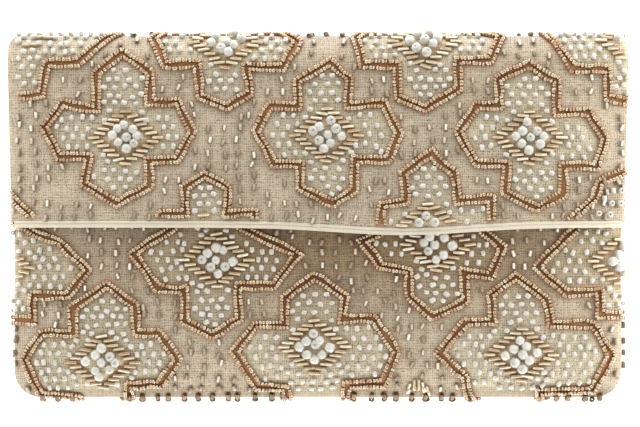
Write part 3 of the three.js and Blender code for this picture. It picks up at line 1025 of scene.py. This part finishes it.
def is_inside(places, corners):
    """True for the places inside a closed outline."""
    following = np.roll(corners, -1, axis=0)
    x, y = places[:, [0]], places[:, [1]]
    spans = (corners[:, 1] > y) != (following[:, 1] > y)
    rise = np.where(following[:, 1] == corners[:, 1], 1, following[:, 1] - corners[:, 1])
    crossing = corners[:, 0] + (y - corners[:, 1]) / rise * (following[:, 0] - corners[:, 0])
    return np.sum(spans & (x < crossing), axis=1) % 2 == 1


def distance_to(places, corners):
    """Distance of each place from a closed outline."""
    ways = np.roll(corners, -1, axis=0) - corners
    from_corner = places[:, None, :] - corners[None]
    share = np.sum(from_corner * ways, axis=-1) / np.sum(ways ** 2, axis=-1)
    nearest = from_corner - np.clip(share, 0, 1)[..., None] * ways
    return np.min(np.linalg.norm(nearest, axis=-1), axis=1)


print(len(CROSSES), "crosses, of which on the flap:", len(CROSSES_ON["flap"]))

# %% [markdown]
# ## Outline rows
# Two rows of copper seeds follow each outline, one just outside it and one inside, close enough to touch.
# A thread pulled by hand is never quite straight, so each side of a row wanders by a fraction of a
# millimetre. The rows are drawn as edges on the flat chart, and the string tree does the rest.

# %% Copper outlines
ROW_SPACING = 2.75
STRAY = 0.3
STRAY_STEP = 5.0
OUTLINE_LIFT = 0.92 * SEED.radius
LOOSENESS = 0.3


def hand_drawn(corners, closed):
    """A line with points added along its sides, each strayed a little, as (points, edges)."""
    ends = np.roll(corners, -1, axis=0) if closed else corners[1:]
    starts = corners if closed else corners[:-1]
    line = []
    for start, end in zip(starts, ends):
        pieces = max(2, round(np.linalg.norm(end - start) / STRAY_STEP))
        line.extend(start + (end - start) * step / pieces for step in range(pieces))
    if not closed:
        line.append(corners[-1])
    line = np.array(line) + HAND.normal(0, STRAY, (len(line), 2))
    edges = [(number, number + 1) for number in range(len(line) - 1)]
    if closed:
        edges.append((len(line) - 1, 0))
    return line, edges


def flat_mesh(name, points, edges=()):
    """A mesh on the flat chart from points in millimetres."""
    mesh = bpy.data.meshes.new(name)
    flat = np.column_stack([np.asarray(points) * MM, np.zeros(len(points))])
    mesh.from_pydata(flat.tolist(), list(edges), [])
    return mesh


CLOTHS = {"flap": flap_cloth, "front": front_cloth}
for cloth_name, cloth in CLOTHS.items():
    lines = [(outline(cross), True) for cross in CROSSES_ON[cloth_name]]
    if cloth_name == "flap":
        lines.append((np.array(CORNER_BAND), False))
    row_points, row_edges = [], []
    for corners, closed in lines:
        for side_of_line in (-0.5, 0.5):
            row, edges = hand_drawn(offset_line(corners, side_of_line * ROW_SPACING, closed), closed)
            row_edges.extend((a + len(row_points), b + len(row_points)) for a, b in edges)
            row_points.extend(row)
    sew(
        cloth_name + "_outline_beads",
        string_tree,
        flat_mesh(cloth_name + "_rows", row_points, row_edges),
        "bronze_beads",
        Cloth=cloth,
        Bead=seed_bead,
        Pitch=SEED.length * MM,
        Lift=OUTLINE_LIFT * MM,
        Looseness=LOOSENESS,
        Seed=11,
        Finish=copper_glass,
    )

# %% [markdown]
# ## Single beads
# The beads that fill a cross are single points on the chart. Each has its own turn, size and lift, which
# the second tree reads as attributes.

# %% Patterns of single beads
Stitch = namedtuple("Stitch", "x y turn size lift")
QUARTER = math.pi / 2


def single_beads(name, stitches):
    """Points for the second tree, with each bead's turn, size and lift."""
    mesh = flat_mesh(name, [(s.x, s.y) for s in stitches])
    set_attribute(mesh, "turn", "FLOAT_VECTOR", [s.turn for s in stitches])
    set_attribute(mesh, "size", "FLOAT", [s.size for s in stitches])
    set_attribute(mesh, "lift", "FLOAT", [s.lift * MM for s in stitches])
    return mesh


# %% [markdown]
# ## Gold bugles
# Round the middle of a cross lies a diamond of gold bugles in thirteen rows. Off the middle row they tilt
# a little, each one strays a little, and they stop at the sides of the bag.

# %% Bugles of a cross
BUGLE_ROWS = 13
BUGLE_PITCH = 1.95
BUGLE_STEP = 2.3
BUGLE_TILT = math.radians(6)
BUGLE_GAP = 0.15
BUGLE_STRAY = {"tilt": 0.06, "x": 0.35, "y": 0.12}
BUGLE_SIZES = (0.95, 1.03)
BUGLE_INSET = 1.5
KNOT_SPAN = (-136, 138.3)
DIAMOND = (18.6, 14.8)


def bugle_stitches(cross):
    """A diamond of bugles in rows, one at the top and bottom and one at each side of the others."""
    last = BUGLE_ROWS // 2
    made = []
    for row in range(-last, last + 1):
        steps_out = last - 1 - abs(row)
        reach = 0.0 if abs(row) == last else BUGLE.length / 2 + BUGLE_GAP + steps_out * BUGLE_STEP
        for way in ((-1, 1) if reach else (1,)):
            tilt = way * np.sign(row) * BUGLE_TILT + HAND.normal(0, BUGLE_STRAY["tilt"])
            x = cross.x + way * reach + HAND.normal(0, BUGLE_STRAY["x"])
            y = cross.y + row * BUGLE_PITCH + HAND.normal(0, BUGLE_STRAY["y"])
            turn = (HAND.uniform(0, 1), 0, tilt)
            size = HAND.uniform(*BUGLE_SIZES)
            if KNOT_SPAN[0] < x < KNOT_SPAN[1] - BUGLE_INSET:
                made.append(Stitch(x, y, turn, size, BUGLE.radius))
    return made


print("a diamond of bugles has", BUGLE_ROWS, "rows in", round(BUGLE_ROWS * BUGLE_PITCH, 1), "mm")

# %% [markdown]
# ## Knots of pearls
# In the diamond sits a knot of nine pearls that touch. It is sewn loosely, so each knot leans its own way
# and some pearls stand with the hole up. A knot stops at the sides of the bag and at the top fold.

# %% Pearls of a cross
PEARL_STEP = (3.2, 3.0)
PEARL_ROWS = {2: (0,), 1: (-1, 1), 0: (-2, 0, 2), -1: (-1, 1), -2: (0,)}
PEARL_LEAN = 0.1
PEARL_STRAY = (0.5, 0.45)
PEARL_TIP = 0.2
PEARL_SIZES = (0.9, 1.06)
PEARL_SEAT = 0.95 * PEARL.radius
PEARL_RISE = 0.6
HOLE_UP_CHANCE = 0.3
HOLE_UP_TIP = 0.3
KNOT_TOP = 83.5


def pearl_stitches(cross):
    """A diamond of nine pearls that touch, some with the hole up, as far as the cloth faces forward."""
    lean = HAND.normal(0, PEARL_LEAN)
    made = []
    for row, columns in PEARL_ROWS.items():
        for column in columns:
            x = column * PEARL_STEP[0] + HAND.normal(0, PEARL_STRAY[0])
            y = row * PEARL_STEP[1] + HAND.normal(0, PEARL_STRAY[1])
            turn = (0, HAND.normal(0, PEARL_TIP), HAND.uniform(0, math.pi))
            if HAND.uniform() < HOLE_UP_CHANCE:
                turn = (HAND.normal(0, HOLE_UP_TIP), QUARTER + HAND.normal(0, HOLE_UP_TIP), 0)
            size = HAND.uniform(*PEARL_SIZES)
            if KNOT_SPAN[0] < cross.x + x < KNOT_SPAN[1] and cross.y + y < KNOT_TOP:
                lift = PEARL_SEAT + HAND.uniform(0, PEARL_RISE)
                made.append(Stitch(cross.x + x - lean * y, cross.y + y + lean * x, turn, size, lift))
    return made


print("a whole knot has", sum(len(columns) for columns in PEARL_ROWS.values()), "pearls")

# %% [markdown]
# ## White seeds
# White seeds fill the arms of a cross. In the side arms they stand upright, and in the upright arms they
# lie crosswise. They keep clear of the copper rows, the bugles and the bottom fold.

# %% White seeds of a cross
SIDE_GRID = (4.8, 4.3)
UPRIGHT_GRID = (4.9, 3.8)
FILL_MARGIN = 3.35
LOWEST_SEED = -78.3
WHITE_SPREAD = (0.88, 1.04)
WHITE_STRAY = {"place": 0.4, "turn": 0.3, "tip": 0.15}
WHITE_SIZES = (0.88, 1.08)
WHITE_LIFT = 0.8 * WHITE.radius


def staggered_grid(reach_x, reach_y, step_x, step_y):
    """Places about (0, 0) in rows, with every other row moved by half a step."""
    across_count = math.ceil(reach_x / step_x)
    along_count = math.ceil(reach_y / step_y)
    grid = []
    for row in range(-along_count, along_count + 1):
        for column in range(-across_count, across_count + 1):
            grid.append(((column + 0.5 * (row % 2)) * step_x, row * step_y))
    return np.array(grid)


def white_stitches(cross):
    """White seeds on a staggered grid in the arms, clear of the outline and the bugles."""
    edge = outline(cross)
    reach_x, reach_y = np.abs(edge - (cross.x, cross.y)).max(axis=0)
    spread = HAND.uniform(*WHITE_SPREAD)
    made = []
    for upright, (side_step, rise_step) in ((False, SIDE_GRID), (True, UPRIGHT_GRID)):
        grid = staggered_grid(reach_x, reach_y, spread * side_step, spread * rise_step)
        places = grid + HAND.normal(0, WHITE_STRAY["place"], grid.shape)
        in_arm = (np.abs(places[:, 0]) < cross.arm) == upright
        off_bugles = np.abs(places / DIAMOND).sum(axis=1) > (1 if cross.knot else 0)
        places += (cross.x, cross.y)
        kept = in_arm & off_bugles & is_inside(places, edge) & (distance_to(places, edge) > FILL_MARGIN)
        kept &= places[:, 1] > LOWEST_SEED
        for x, y in places[kept]:
            heading = (0.0 if upright else QUARTER) + HAND.normal(0, WHITE_STRAY["turn"])
            turn = (0, HAND.normal(0, WHITE_STRAY["tip"]), heading)
            made.append(Stitch(x, y, turn, HAND.uniform(*WHITE_SIZES), WHITE_LIFT))
    return made


print("white seeds stand", SIDE_GRID, "mm apart in side arms and", UPRIGHT_GRID, "mm in upright ones")

# %% [markdown]
# ## Sewing the fillings
# Each cloth gets three pieces: its white seeds, its bugles and its pearls. The flap's right corner also
# has a few seeds, most of them with the hole up, and a few bugles lie alone near the edges.

# %% Sew the fillings
CORNER_RINGS = [(136.4, 11.7), (131.9, 5.9), (135.9, 5.9), (126.0, 1.4), (131.0, 0.9), (122.0, -0.9)]
RING_SIZE = 1.2
CORNER_SEEDS = [(132.8, 11.7), (128.7, 8.1)]
LONE_BUGLES = {
    "flap": [(-124.6, 81.8, 0.1), (-121.0, 81.4, -0.05), (-130.8, 77.3, 0.05), (-126.9, 77.5, 0.0)],
    "front": [(40.8, -77.6, 1.3), (43.3, -75.9, 1.55), (45.4, -75.7, 1.6), (47.4, -76.9, 1.75),
              (49.5, -78.8, 1.85)],
}
FILLINGS = (
    ("white_beads", white_bead, white_glass, "white_beads", 21),
    ("bugles", bugle_bead, gold_satin, "gold_bugles", 22),
    ("pearls", pearl_bead, pearl_glass, "white_beads", 23),
)

for cloth_name, cloth in CLOTHS.items():
    fillings = {"white_beads": [], "bugles": [], "pearls": []}
    for cross in CROSSES_ON[cloth_name]:
        fillings["white_beads"] += white_stitches(cross)
        if cross.knot:
            fillings["pearls"] += pearl_stitches(cross)
            fillings["bugles"] += bugle_stitches(cross)
    if cloth_name == "flap":
        hole_up, upright = (0, QUARTER, 0), (0, 0, QUARTER)
        rings = [Stitch(x, y, hole_up, RING_SIZE, WHITE.length / 2) for x, y in CORNER_RINGS]
        seeds = [Stitch(x, y, upright, 1, WHITE.radius) for x, y in CORNER_SEEDS]
        fillings["white_beads"] += rings + seeds
    lone = LONE_BUGLES[cloth_name]
    fillings["bugles"] += [Stitch(x, y, (0, 0, turn), 1, BUGLE.radius) for x, y, turn in lone]
    for kind, bead, finish, slot_name, seed in FILLINGS:
        sew(
            f"{cloth_name}_{kind}",
            point_tree,
            single_beads(f"{cloth_name}_{kind}_points", fillings[kind]),
            slot_name,
            Cloth=cloth,
            Bead=bead,
            Seed=seed,
            Finish=finish,
        )

# %% [markdown]
# ## Ground beads
# Between the crosses the linen is dotted with small smoky beads, standing in loose columns. They also
# catch the light along the folds, where they break the outline of the bag. A jittered grid gives them,
# less the places that a cross covers and a few that were skipped. Along the bottom fold hang pairs of
# brown ones, whose darker finish is partly their own brown glass and partly painted shade.

# %% Smoky ground beads
GROUND_STEP = (6.6, 5.6)
GROUND_STRAY = 0.75
GROUND_SKIPPED = 0.07
GROUND_MARGIN = 3.9
HEM_RUN = (-124, 126)
HEM_STEP = 6.4
HEM_RISES = (0.4, 4.4)
HEM_BEAD_SCALE = 1.12
GROUND_FIELD = {"flap": (-134.5, 142, 0, 96), "front": (-150, 150, -78, 4)}
BARE_CORNER = (133, -71)
GROUND_TURN_STRAY = 0.22
GROUND_SIZES = (0.9, 1.15)


def upright_beads(places, scale=1.0):
    """One smoky bead at each place, nearly upright."""
    headings = QUARTER + HAND.normal(0, GROUND_TURN_STRAY, len(places))
    sizes = scale * HAND.uniform(*GROUND_SIZES, len(places))
    beads = zip(places, headings, sizes)
    return [Stitch(x, y, (0, 0, turn), size, SMOKY.radius) for (x, y), turn, size in beads]


def ground_stitches(cloth_name):
    """Smoky beads over a whole cloth, outside its crosses."""
    left, right, low, high = GROUND_FIELD[cloth_name]
    columns = np.arange(left, right, GROUND_STEP[0])
    rows = np.arange(low, high, GROUND_STEP[1])
    grid = np.array([(x, y) for y in rows for x in columns])
    places = grid + HAND.normal(0, GROUND_STRAY, grid.shape)
    kept = HAND.uniform(size=len(places)) > GROUND_SKIPPED
    kept &= (np.abs(places[:, 0]) < BARE_CORNER[0]) | (places[:, 1] > BARE_CORNER[1])
    for cross in CROSSES_ON[cloth_name]:
        edge = outline(cross)
        kept &= ~is_inside(places, edge) & (distance_to(places, edge) > GROUND_MARGIN)
    return upright_beads(places[kept])


def hem_stitches():
    """Pairs of brown beads along the bottom fold, one above the other, outside the crosses."""
    x = np.arange(*HEM_RUN, HEM_STEP)
    x += HAND.normal(0, GROUND_STRAY, len(x))
    fold = np.interp(x, front_u[0], front_v[0])
    places = np.concatenate([np.column_stack([x, fold + rise]) for rise in HEM_RISES])
    for cross in CROSSES_ON["front"]:
        places = places[~is_inside(places, outline(cross))]
    return upright_beads(places, HEM_BEAD_SCALE)


flap_ground = ground_stitches("flap")
front_ground = ground_stitches("front")
ground_kinds = (
    ("flap_ground_beads", flap_cloth, flap_ground, smoky_glass),
    ("front_ground_beads", front_cloth, front_ground, smoky_glass),
    ("front_hem_beads", front_cloth, hem_stitches(), brown_glass),
)
for name, cloth, stitches, finish in ground_kinds:
    sew(
        name,
        point_tree,
        single_beads(name + "_points", stitches),
        "smoky_beads",
        Cloth=cloth,
        Bead=smoky_bead,
        Seed=31,
        Finish=finish,
    )

for shape in (seed_bead, white_bead, smoky_bead, bugle_bead, pearl_bead):
    bpy.data.objects.remove(shape)
print(len(bead_pieces), "pieces of bead work")

# %% [markdown]
# ## Light among the beads
# Light and shade among the beads are painted into the linen's colour. Painted warm brown shade lies
# between the copper rows and among the gold bugles, and painted light brightens the cloth among the milky
# seeds and pearls. A smoky ground bead has a small painted brown shadow about it, darker under a larger
# bead and on the front. Painted shade darkens the linen a little at the top and bottom folds, and below
# the flap's edge the front has a painted warm shadow that fades downwards. The attribute bead_light holds
# that painted light and shade at every corner of a cloth's faces: white in the open, brown by a copper
# row, pale inside a cross. The linen finish is multiplied by it.

# %% Paint light and shade on the linen
OPEN_LIGHT = np.ones(3)
# Painted warm brown shade between the copper rows.
COPPER_SHADE = np.array([0.99, 0.585, 0.35])
SHADE_REACH = 3.3
COPPER_FADE = 1.5
# Painted light among the white seeds.
SEED_GLOW = np.array([1.13, 1.19, 1.18])
SEED_GLOW_RISE = 4
# Painted warm brown shade among the gold bugles.
BUGLE_SHADE = np.array([0.84, 0.58, 0.36])
BUGLE_SHADE_RIM = {"reach": 1.04, "fade": 4}
# Painted light among the pearls, laid over the painted shade of the bugles.
PEARL_GLOW = np.array([1.7, 1.7, 1.66])
PEARL_GLOW_RIM = {"reach": 0.72, "fade": 3}
FAR_FROM_KNOT = 2
# Painted brown shadow about each smoky ground bead, darker under a larger bead and on the front.
GROUND_SHADE = np.array([0.64, 0.5, 0.38])
GROUND_REACH = 2.4
BEAD_SHADOW_FADE = 1.3
BEAD_SHADOW_SIZES = {"none": 0.85, "span": 0.3}
BEAD_SHADOW_SHARE = {"flap": 0.35, "front": 1.0}
# Painted shade along the top fold of the flap and the bottom fold of the front.
TOP_FOLD_SHADE = np.array([0.84, 0.85, 0.92])
TOP_FOLD_RUN = (75, 83)
BOTTOM_FOLD_SHADE = np.array([0.7, 0.66, 0.62])
BOTTOM_FOLD_RUN = (-75.5, -80.5)
# Painted warm shadow of the flap on the front, fading downwards.
FLAP_SHADE = np.array([0.57, 0.46, 0.34])
FLAP_SHADE_FALL = {"start": 1.1, "depth": 48, "sides": 0.75}
SHADE_MIDDLE = 20


def blend(tint, share, colour):
    """A tint moved towards a colour, by a share at each place."""
    return tint + share[:, None] * (colour - tint)


def cross_tint(places, crosses, bands):
    """Painted light and shade from the fillings of the crosses and from the copper rows."""
    tint = np.tile(OPEN_LIGHT, (len(places), 1))
    nearest = np.full(len(places), 2 * SHADE_REACH)
    for cross in crosses:
        edge = outline(cross)
        from_edge = distance_to(places, edge)
        nearest = np.minimum(nearest, from_edge)
        tint = blend(tint, ease(from_edge / SEED_GLOW_RISE) * is_inside(places, edge), SEED_GLOW)
        if cross.knot:
            from_knot = (np.abs(places - (cross.x, cross.y)) / DIAMOND).sum(axis=1)
            from_knot[(places[:, 0] < KNOT_SPAN[0]) | (places[:, 0] > KNOT_SPAN[1])] = FAR_FROM_KNOT
            for rim, colour in ((BUGLE_SHADE_RIM, BUGLE_SHADE), (PEARL_GLOW_RIM, PEARL_GLOW)):
                tint = blend(tint, ease(rim["fade"] * (rim["reach"] - from_knot)), colour)
    for band in bands:
        there_and_back = np.array(band + band[-2:0:-1])
        nearest = np.minimum(nearest, distance_to(places, there_and_back))
    return blend(tint, ease(COPPER_FADE * (1 - nearest / SHADE_REACH)), COPPER_SHADE)


def ground_bead_shadows(places, stitches):
    """How deep each place lies in the painted shadow of a ground bead, from 0 to 1 about the largest beads.
    """
    depth = np.zeros(len(places))
    for stitch in stitches:
        away = np.hypot(places[:, 0] - stitch.x, places[:, 1] - stitch.y)
        darkness = (stitch.size - BEAD_SHADOW_SIZES["none"]) / BEAD_SHADOW_SIZES["span"]
        depth = np.maximum(depth, darkness * ease(BEAD_SHADOW_FADE * (1 - away / GROUND_REACH)))
    return depth


def sewn_corners(mesh):
    """The attribute beaded, read at every corner of a mesh's faces."""
    beaded = np.empty(len(mesh.vertices), dtype=np.float32)
    mesh.attributes["beaded"].data.foreach_get("value", beaded)
    vertices = np.empty(len(mesh.loops), dtype=np.int32)
    mesh.loops.foreach_get("vertex_index", vertices)
    return beaded[vertices]


def fold_tint(rise, run, shade):
    """Painted shade that goes from white to a shade over a run of the chart's height."""
    return blend(OPEN_LIGHT, ease((rise - run[0]) / (run[1] - run[0])), shade)


def flap_shadow_tint(places):
    """Painted shadow of the flap on the front below its edge, deepest a little right of the middle."""
    below_flap = flap_edge_y(places[:, 0]) - places[:, 1]
    off_middle = (places[:, 0] - SHADE_MIDDLE) / POUCH_HALF
    share = ease(FLAP_SHADE_FALL["start"] - below_flap / FLAP_SHADE_FALL["depth"])
    share = share * (1 - FLAP_SHADE_FALL["sides"] * np.minimum(off_middle ** 2, 1))
    return blend(OPEN_LIGHT, share, FLAP_SHADE)


def mark_light(cloth, crosses, bands, stitches, shadow_share):
    """Stores the painted light and shade of the linen at each corner of a cloth's faces."""
    places = chart_places(cloth) / MM
    tint = cross_tint(places, crosses, bands)
    tint *= blend(OPEN_LIGHT, shadow_share * ground_bead_shadows(places, stitches), GROUND_SHADE)
    tint = blend(OPEN_LIGHT, sewn_corners(cloth.data), tint)
    if cloth == flap_cloth:
        tint *= fold_tint(places[:, 1], TOP_FOLD_RUN, TOP_FOLD_SHADE)
    if cloth == front_cloth:
        tint *= fold_tint(places[:, 1], BOTTOM_FOLD_RUN, BOTTOM_FOLD_SHADE)
        tint *= flap_shadow_tint(places)
    opaque = np.column_stack([tint, np.ones(len(tint))])
    set_attribute(cloth.data, "bead_light", "FLOAT_COLOR", opaque, "CORNER")
    print(cloth.name, "mean tint:", tint.mean(axis=0).round(2))


mark_light(flap_cloth, CROSSES_ON["flap"], [CORNER_BAND], flap_ground, BEAD_SHADOW_SHARE["flap"])
mark_light(front_cloth, CROSSES_ON["front"], [], front_ground, BEAD_SHADOW_SHARE["front"])
mark_light(back_cloth, [], [], [], 0)

# %% [markdown]
# ## Linen
# The ground cloth is an open plain-weave linen of natural colour. The weave follows the chart, so threads
# turn with the cloth: a warp every 0.95 mm and a weft every 1.15 mm, with dark pores between them, and
# long soft streaks where a thread is thicker. A bump gives the threads their relief.

# %% Linen finish
WARP = 0.95
WEFT = 1.15
WAVER = (1.9, 1.9, 0)
NOISE_SPAN = (0.3, 0.7)
OPENNESS = (0.1, 1.25)
STREAK_STRETCHES = ((0.09, 1.7, 1), (1.7, 0.09, 1))
STREAK_DEPTH = 0.5
CLOUD_DEPTH = 0.8
THREAD_TONE = {"contrast": 0.52, "middle": 0.54}


def noise(tree, place, scale, detail):
    """The outputs of a noise texture over a place."""
    return add_node(tree, "ShaderNodeTexNoise", {"Vector": place, "Scale": scale, "Detail": detail}).outputs


def weave(tree):
    """How deep a pore is, from 0 on a thread to 1 in a hole, and a streak value, both over the chart."""
    chart = add_node(tree, "ShaderNodeUVMap", uv_map="chart").outputs[0]
    scaled = vector_math(tree, "SCALE", chart, 1 / MM)
    strayed = {0: noise(tree, scaled, 0.6, 2.0)["Color"], 1: WAVER, 2: scaled}
    shifted = add_node(tree, "ShaderNodeVectorMath", strayed, operation="MULTIPLY_ADD").outputs[0]
    place = add_node(tree, "ShaderNodeSeparateXYZ", {0: shifted}).outputs
    gaps = []
    for axis, period in (("X", WARP), ("Y", WEFT)):
        swing = math_node(tree, "SINE", math_node(tree, "MULTIPLY", place[axis], 2 * math.pi / period))
        gaps.append(math_node(tree, "MULTIPLY_ADD", swing, 0.5, 0.5))
    open_here = map_range(tree, noise(tree, scaled, 0.75, 1.0)["Fac"], *NOISE_SPAN, *OPENNESS)
    pore = math_node(tree, "MULTIPLY", math_node(tree, "MULTIPLY", *gaps), open_here)
    streaks = []
    for stretch in STREAK_STRETCHES:
        thin = vector_math(tree, "MULTIPLY", scaled, stretch)
        streaks.append(map_range(tree, noise(tree, thin, 1.0, 1.0)["Fac"], *NOISE_SPAN, end=STREAK_DEPTH))
    cloud = noise(tree, scaled, 0.05, 3.0)["Fac"]
    uneven = math_node(tree, "MULTIPLY_ADD", cloud, CLOUD_DEPTH, -CLOUD_DEPTH / 2)
    streak = math_node(tree, "ADD", math_node(tree, "ADD", *streaks), uneven)
    return pore, streak


def linen(name, dark, pale, bump_mm):
    """Woven linen between the colour of its pores and that of its palest threads."""
    material, tree, shader = new_material(name, Roughness=0.9, Sheen_Weight=0.15, Sheen_Roughness=0.6)
    pore, streak = weave(tree)
    thread = math_node(tree, "MULTIPLY_ADD", streak, THREAD_TONE["contrast"], THREAD_TONE["middle"])
    lit = math_node(tree, "SUBTRACT", thread, pore)
    lit.node.use_clamp = True
    colours = {"Factor": lit, "A": (*dark, 1), "B": (*pale, 1)}
    woven = socket_named(add_node(tree, "ShaderNodeMix", colours, data_type="RGBA").outputs, "Result")
    # The painted light and shade held in bead_light multiply the woven colour.
    light = add_node(tree, "ShaderNodeAttribute", attribute_name="bead_light").outputs["Color"]
    tinted = {"Factor": 1.0, "A": woven, "B": light}
    colour = add_node(tree, "ShaderNodeMix", tinted, data_type="RGBA", blend_type="MULTIPLY")
    tree.links.new(socket_named(colour.outputs, "Result"), shader.inputs["Base Color"])
    raised = add_node(tree, "ShaderNodeBump", {"Height": lit, "Distance": bump_mm * MM, "Strength": 0.6})
    tree.links.new(raised.outputs["Normal"], shader.inputs["Normal"])
    return material


natural_linen = linen("natural_linen", (0.15, 0.114, 0.075), (0.585, 0.493, 0.361), 0.15)
for cloth in (front_cloth, back_cloth, flap_cloth):
    cloth.data.materials.append(natural_linen)
print("linen threads per cm:", round(10 / WARP, 1), "by", round(10 / WEFT, 1))

# %% [markdown]
# ## Thickness of the cloth
# Now that the beads are sewn on, each skin becomes real cloth. Solidify adds the 1.6 mm wall inwards, so
# the outer face stays where the beads sit.

# %% Give the cloth its wall
for cloth in (front_cloth, back_cloth, flap_cloth):
    wall = cloth.modifiers.new("wall", "SOLIDIFY")
    wall.thickness = CLOTH * MM
    wall.offset = -1

# %% [markdown]
# ## Piping and snap finishes
# The piping is a cream bias strip of a finer cloth, so it only shows a close rib along its length. The
# magnetic snap under the flap is a turned steel disc with a dull plating, worn a little brighter.

# %% Finishes of the piping and the snap
piping_cloth, piping_tree, piping_shader = new_material("piping_cloth", Roughness=0.8, Sheen_Weight=0.2)
place = add_node(piping_tree, "ShaderNodeTexCoord").outputs["Object"]
rib = add_node(
    piping_tree, "ShaderNodeTexWave", {"Vector": place, "Scale": 520.0, "Distortion": 1.5, "Detail": 1.0}
)
CREAM = [(0.0, (0.57, 0.505, 0.39)), (1.0, (0.68, 0.62, 0.5))]
cream = colour_ramp(piping_tree, rib.outputs["Fac"], CREAM)
piping_tree.links.new(cream, piping_shader.inputs["Base Color"])
rib_bump = add_node(piping_tree, "ShaderNodeBump", {"Height": rib.outputs["Fac"], "Distance": 0.05 * MM})
piping_tree.links.new(rib_bump.outputs["Normal"], piping_shader.inputs["Normal"])
piping_mesh.materials.append(piping_cloth)

snap_steel, snap_tree, snap_shader = new_material("snap_steel", Metallic=1.0)
snap_place = add_node(snap_tree, "ShaderNodeTexCoord").outputs["Object"]
rubbed = noise(snap_tree, snap_place, 900.0, 4.0)["Fac"]
dulled = map_range(snap_tree, rubbed, 0.0, 1.0, 0.2, 0.45)
snap_tree.links.new(dulled, snap_shader.inputs["Roughness"])
PLATING = [(0.0, (0.45, 0.41, 0.34)), (1.0, (0.66, 0.62, 0.54))]
plating = colour_ramp(snap_tree, rubbed, PLATING)
snap_tree.links.new(plating, snap_shader.inputs["Base Color"])
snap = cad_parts["magnet_snap"]
snap.data.materials.clear()
snap.data.materials.append(snap_steel)
print("finished", piping.name, "and", snap.name)

# %% [markdown]
# ## Pieces, bodies and flat sizes
# Nothing on the clutch turns on a hinge, so every piece rides on the one body, root. The cloth pieces
# stand for their soft solids. For each, the span of its chart is worked out as the size that it was cut
# to, and the area of its made-up skin, which is up to 1.4 % less than the chart's.

def flat_cut(cloth):
    """Width and length of a cloth's chart, in metres, and the area of its made-up skin."""
    spans = np.ptp(chart_places(cloth), axis=0)
    area = sum(face.area for face in cloth.data.polygons)
    return (float(spans[0]), float(spans[1])), area


for cloth, node_name in ((front_cloth, "front_panel"), (back_cloth, "back_panel"), (flap_cloth, "flap")):
    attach(cloth, "root")
    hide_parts(node_name)
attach(piping, "root")
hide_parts("flap_piping")
for piece, slot_name in bead_pieces:
    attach(piece, "root")

front_cut, front_area = flat_cut(front_cloth)
back_cut, back_area = flat_cut(back_cloth)
flap_cut_size, flap_area = flat_cut(flap_cloth)
cuts = (front_cut, back_cut, flap_cut_size)
print("cut sizes in mm:", [[round(span / MM) for span in cut] for cut in cuts])
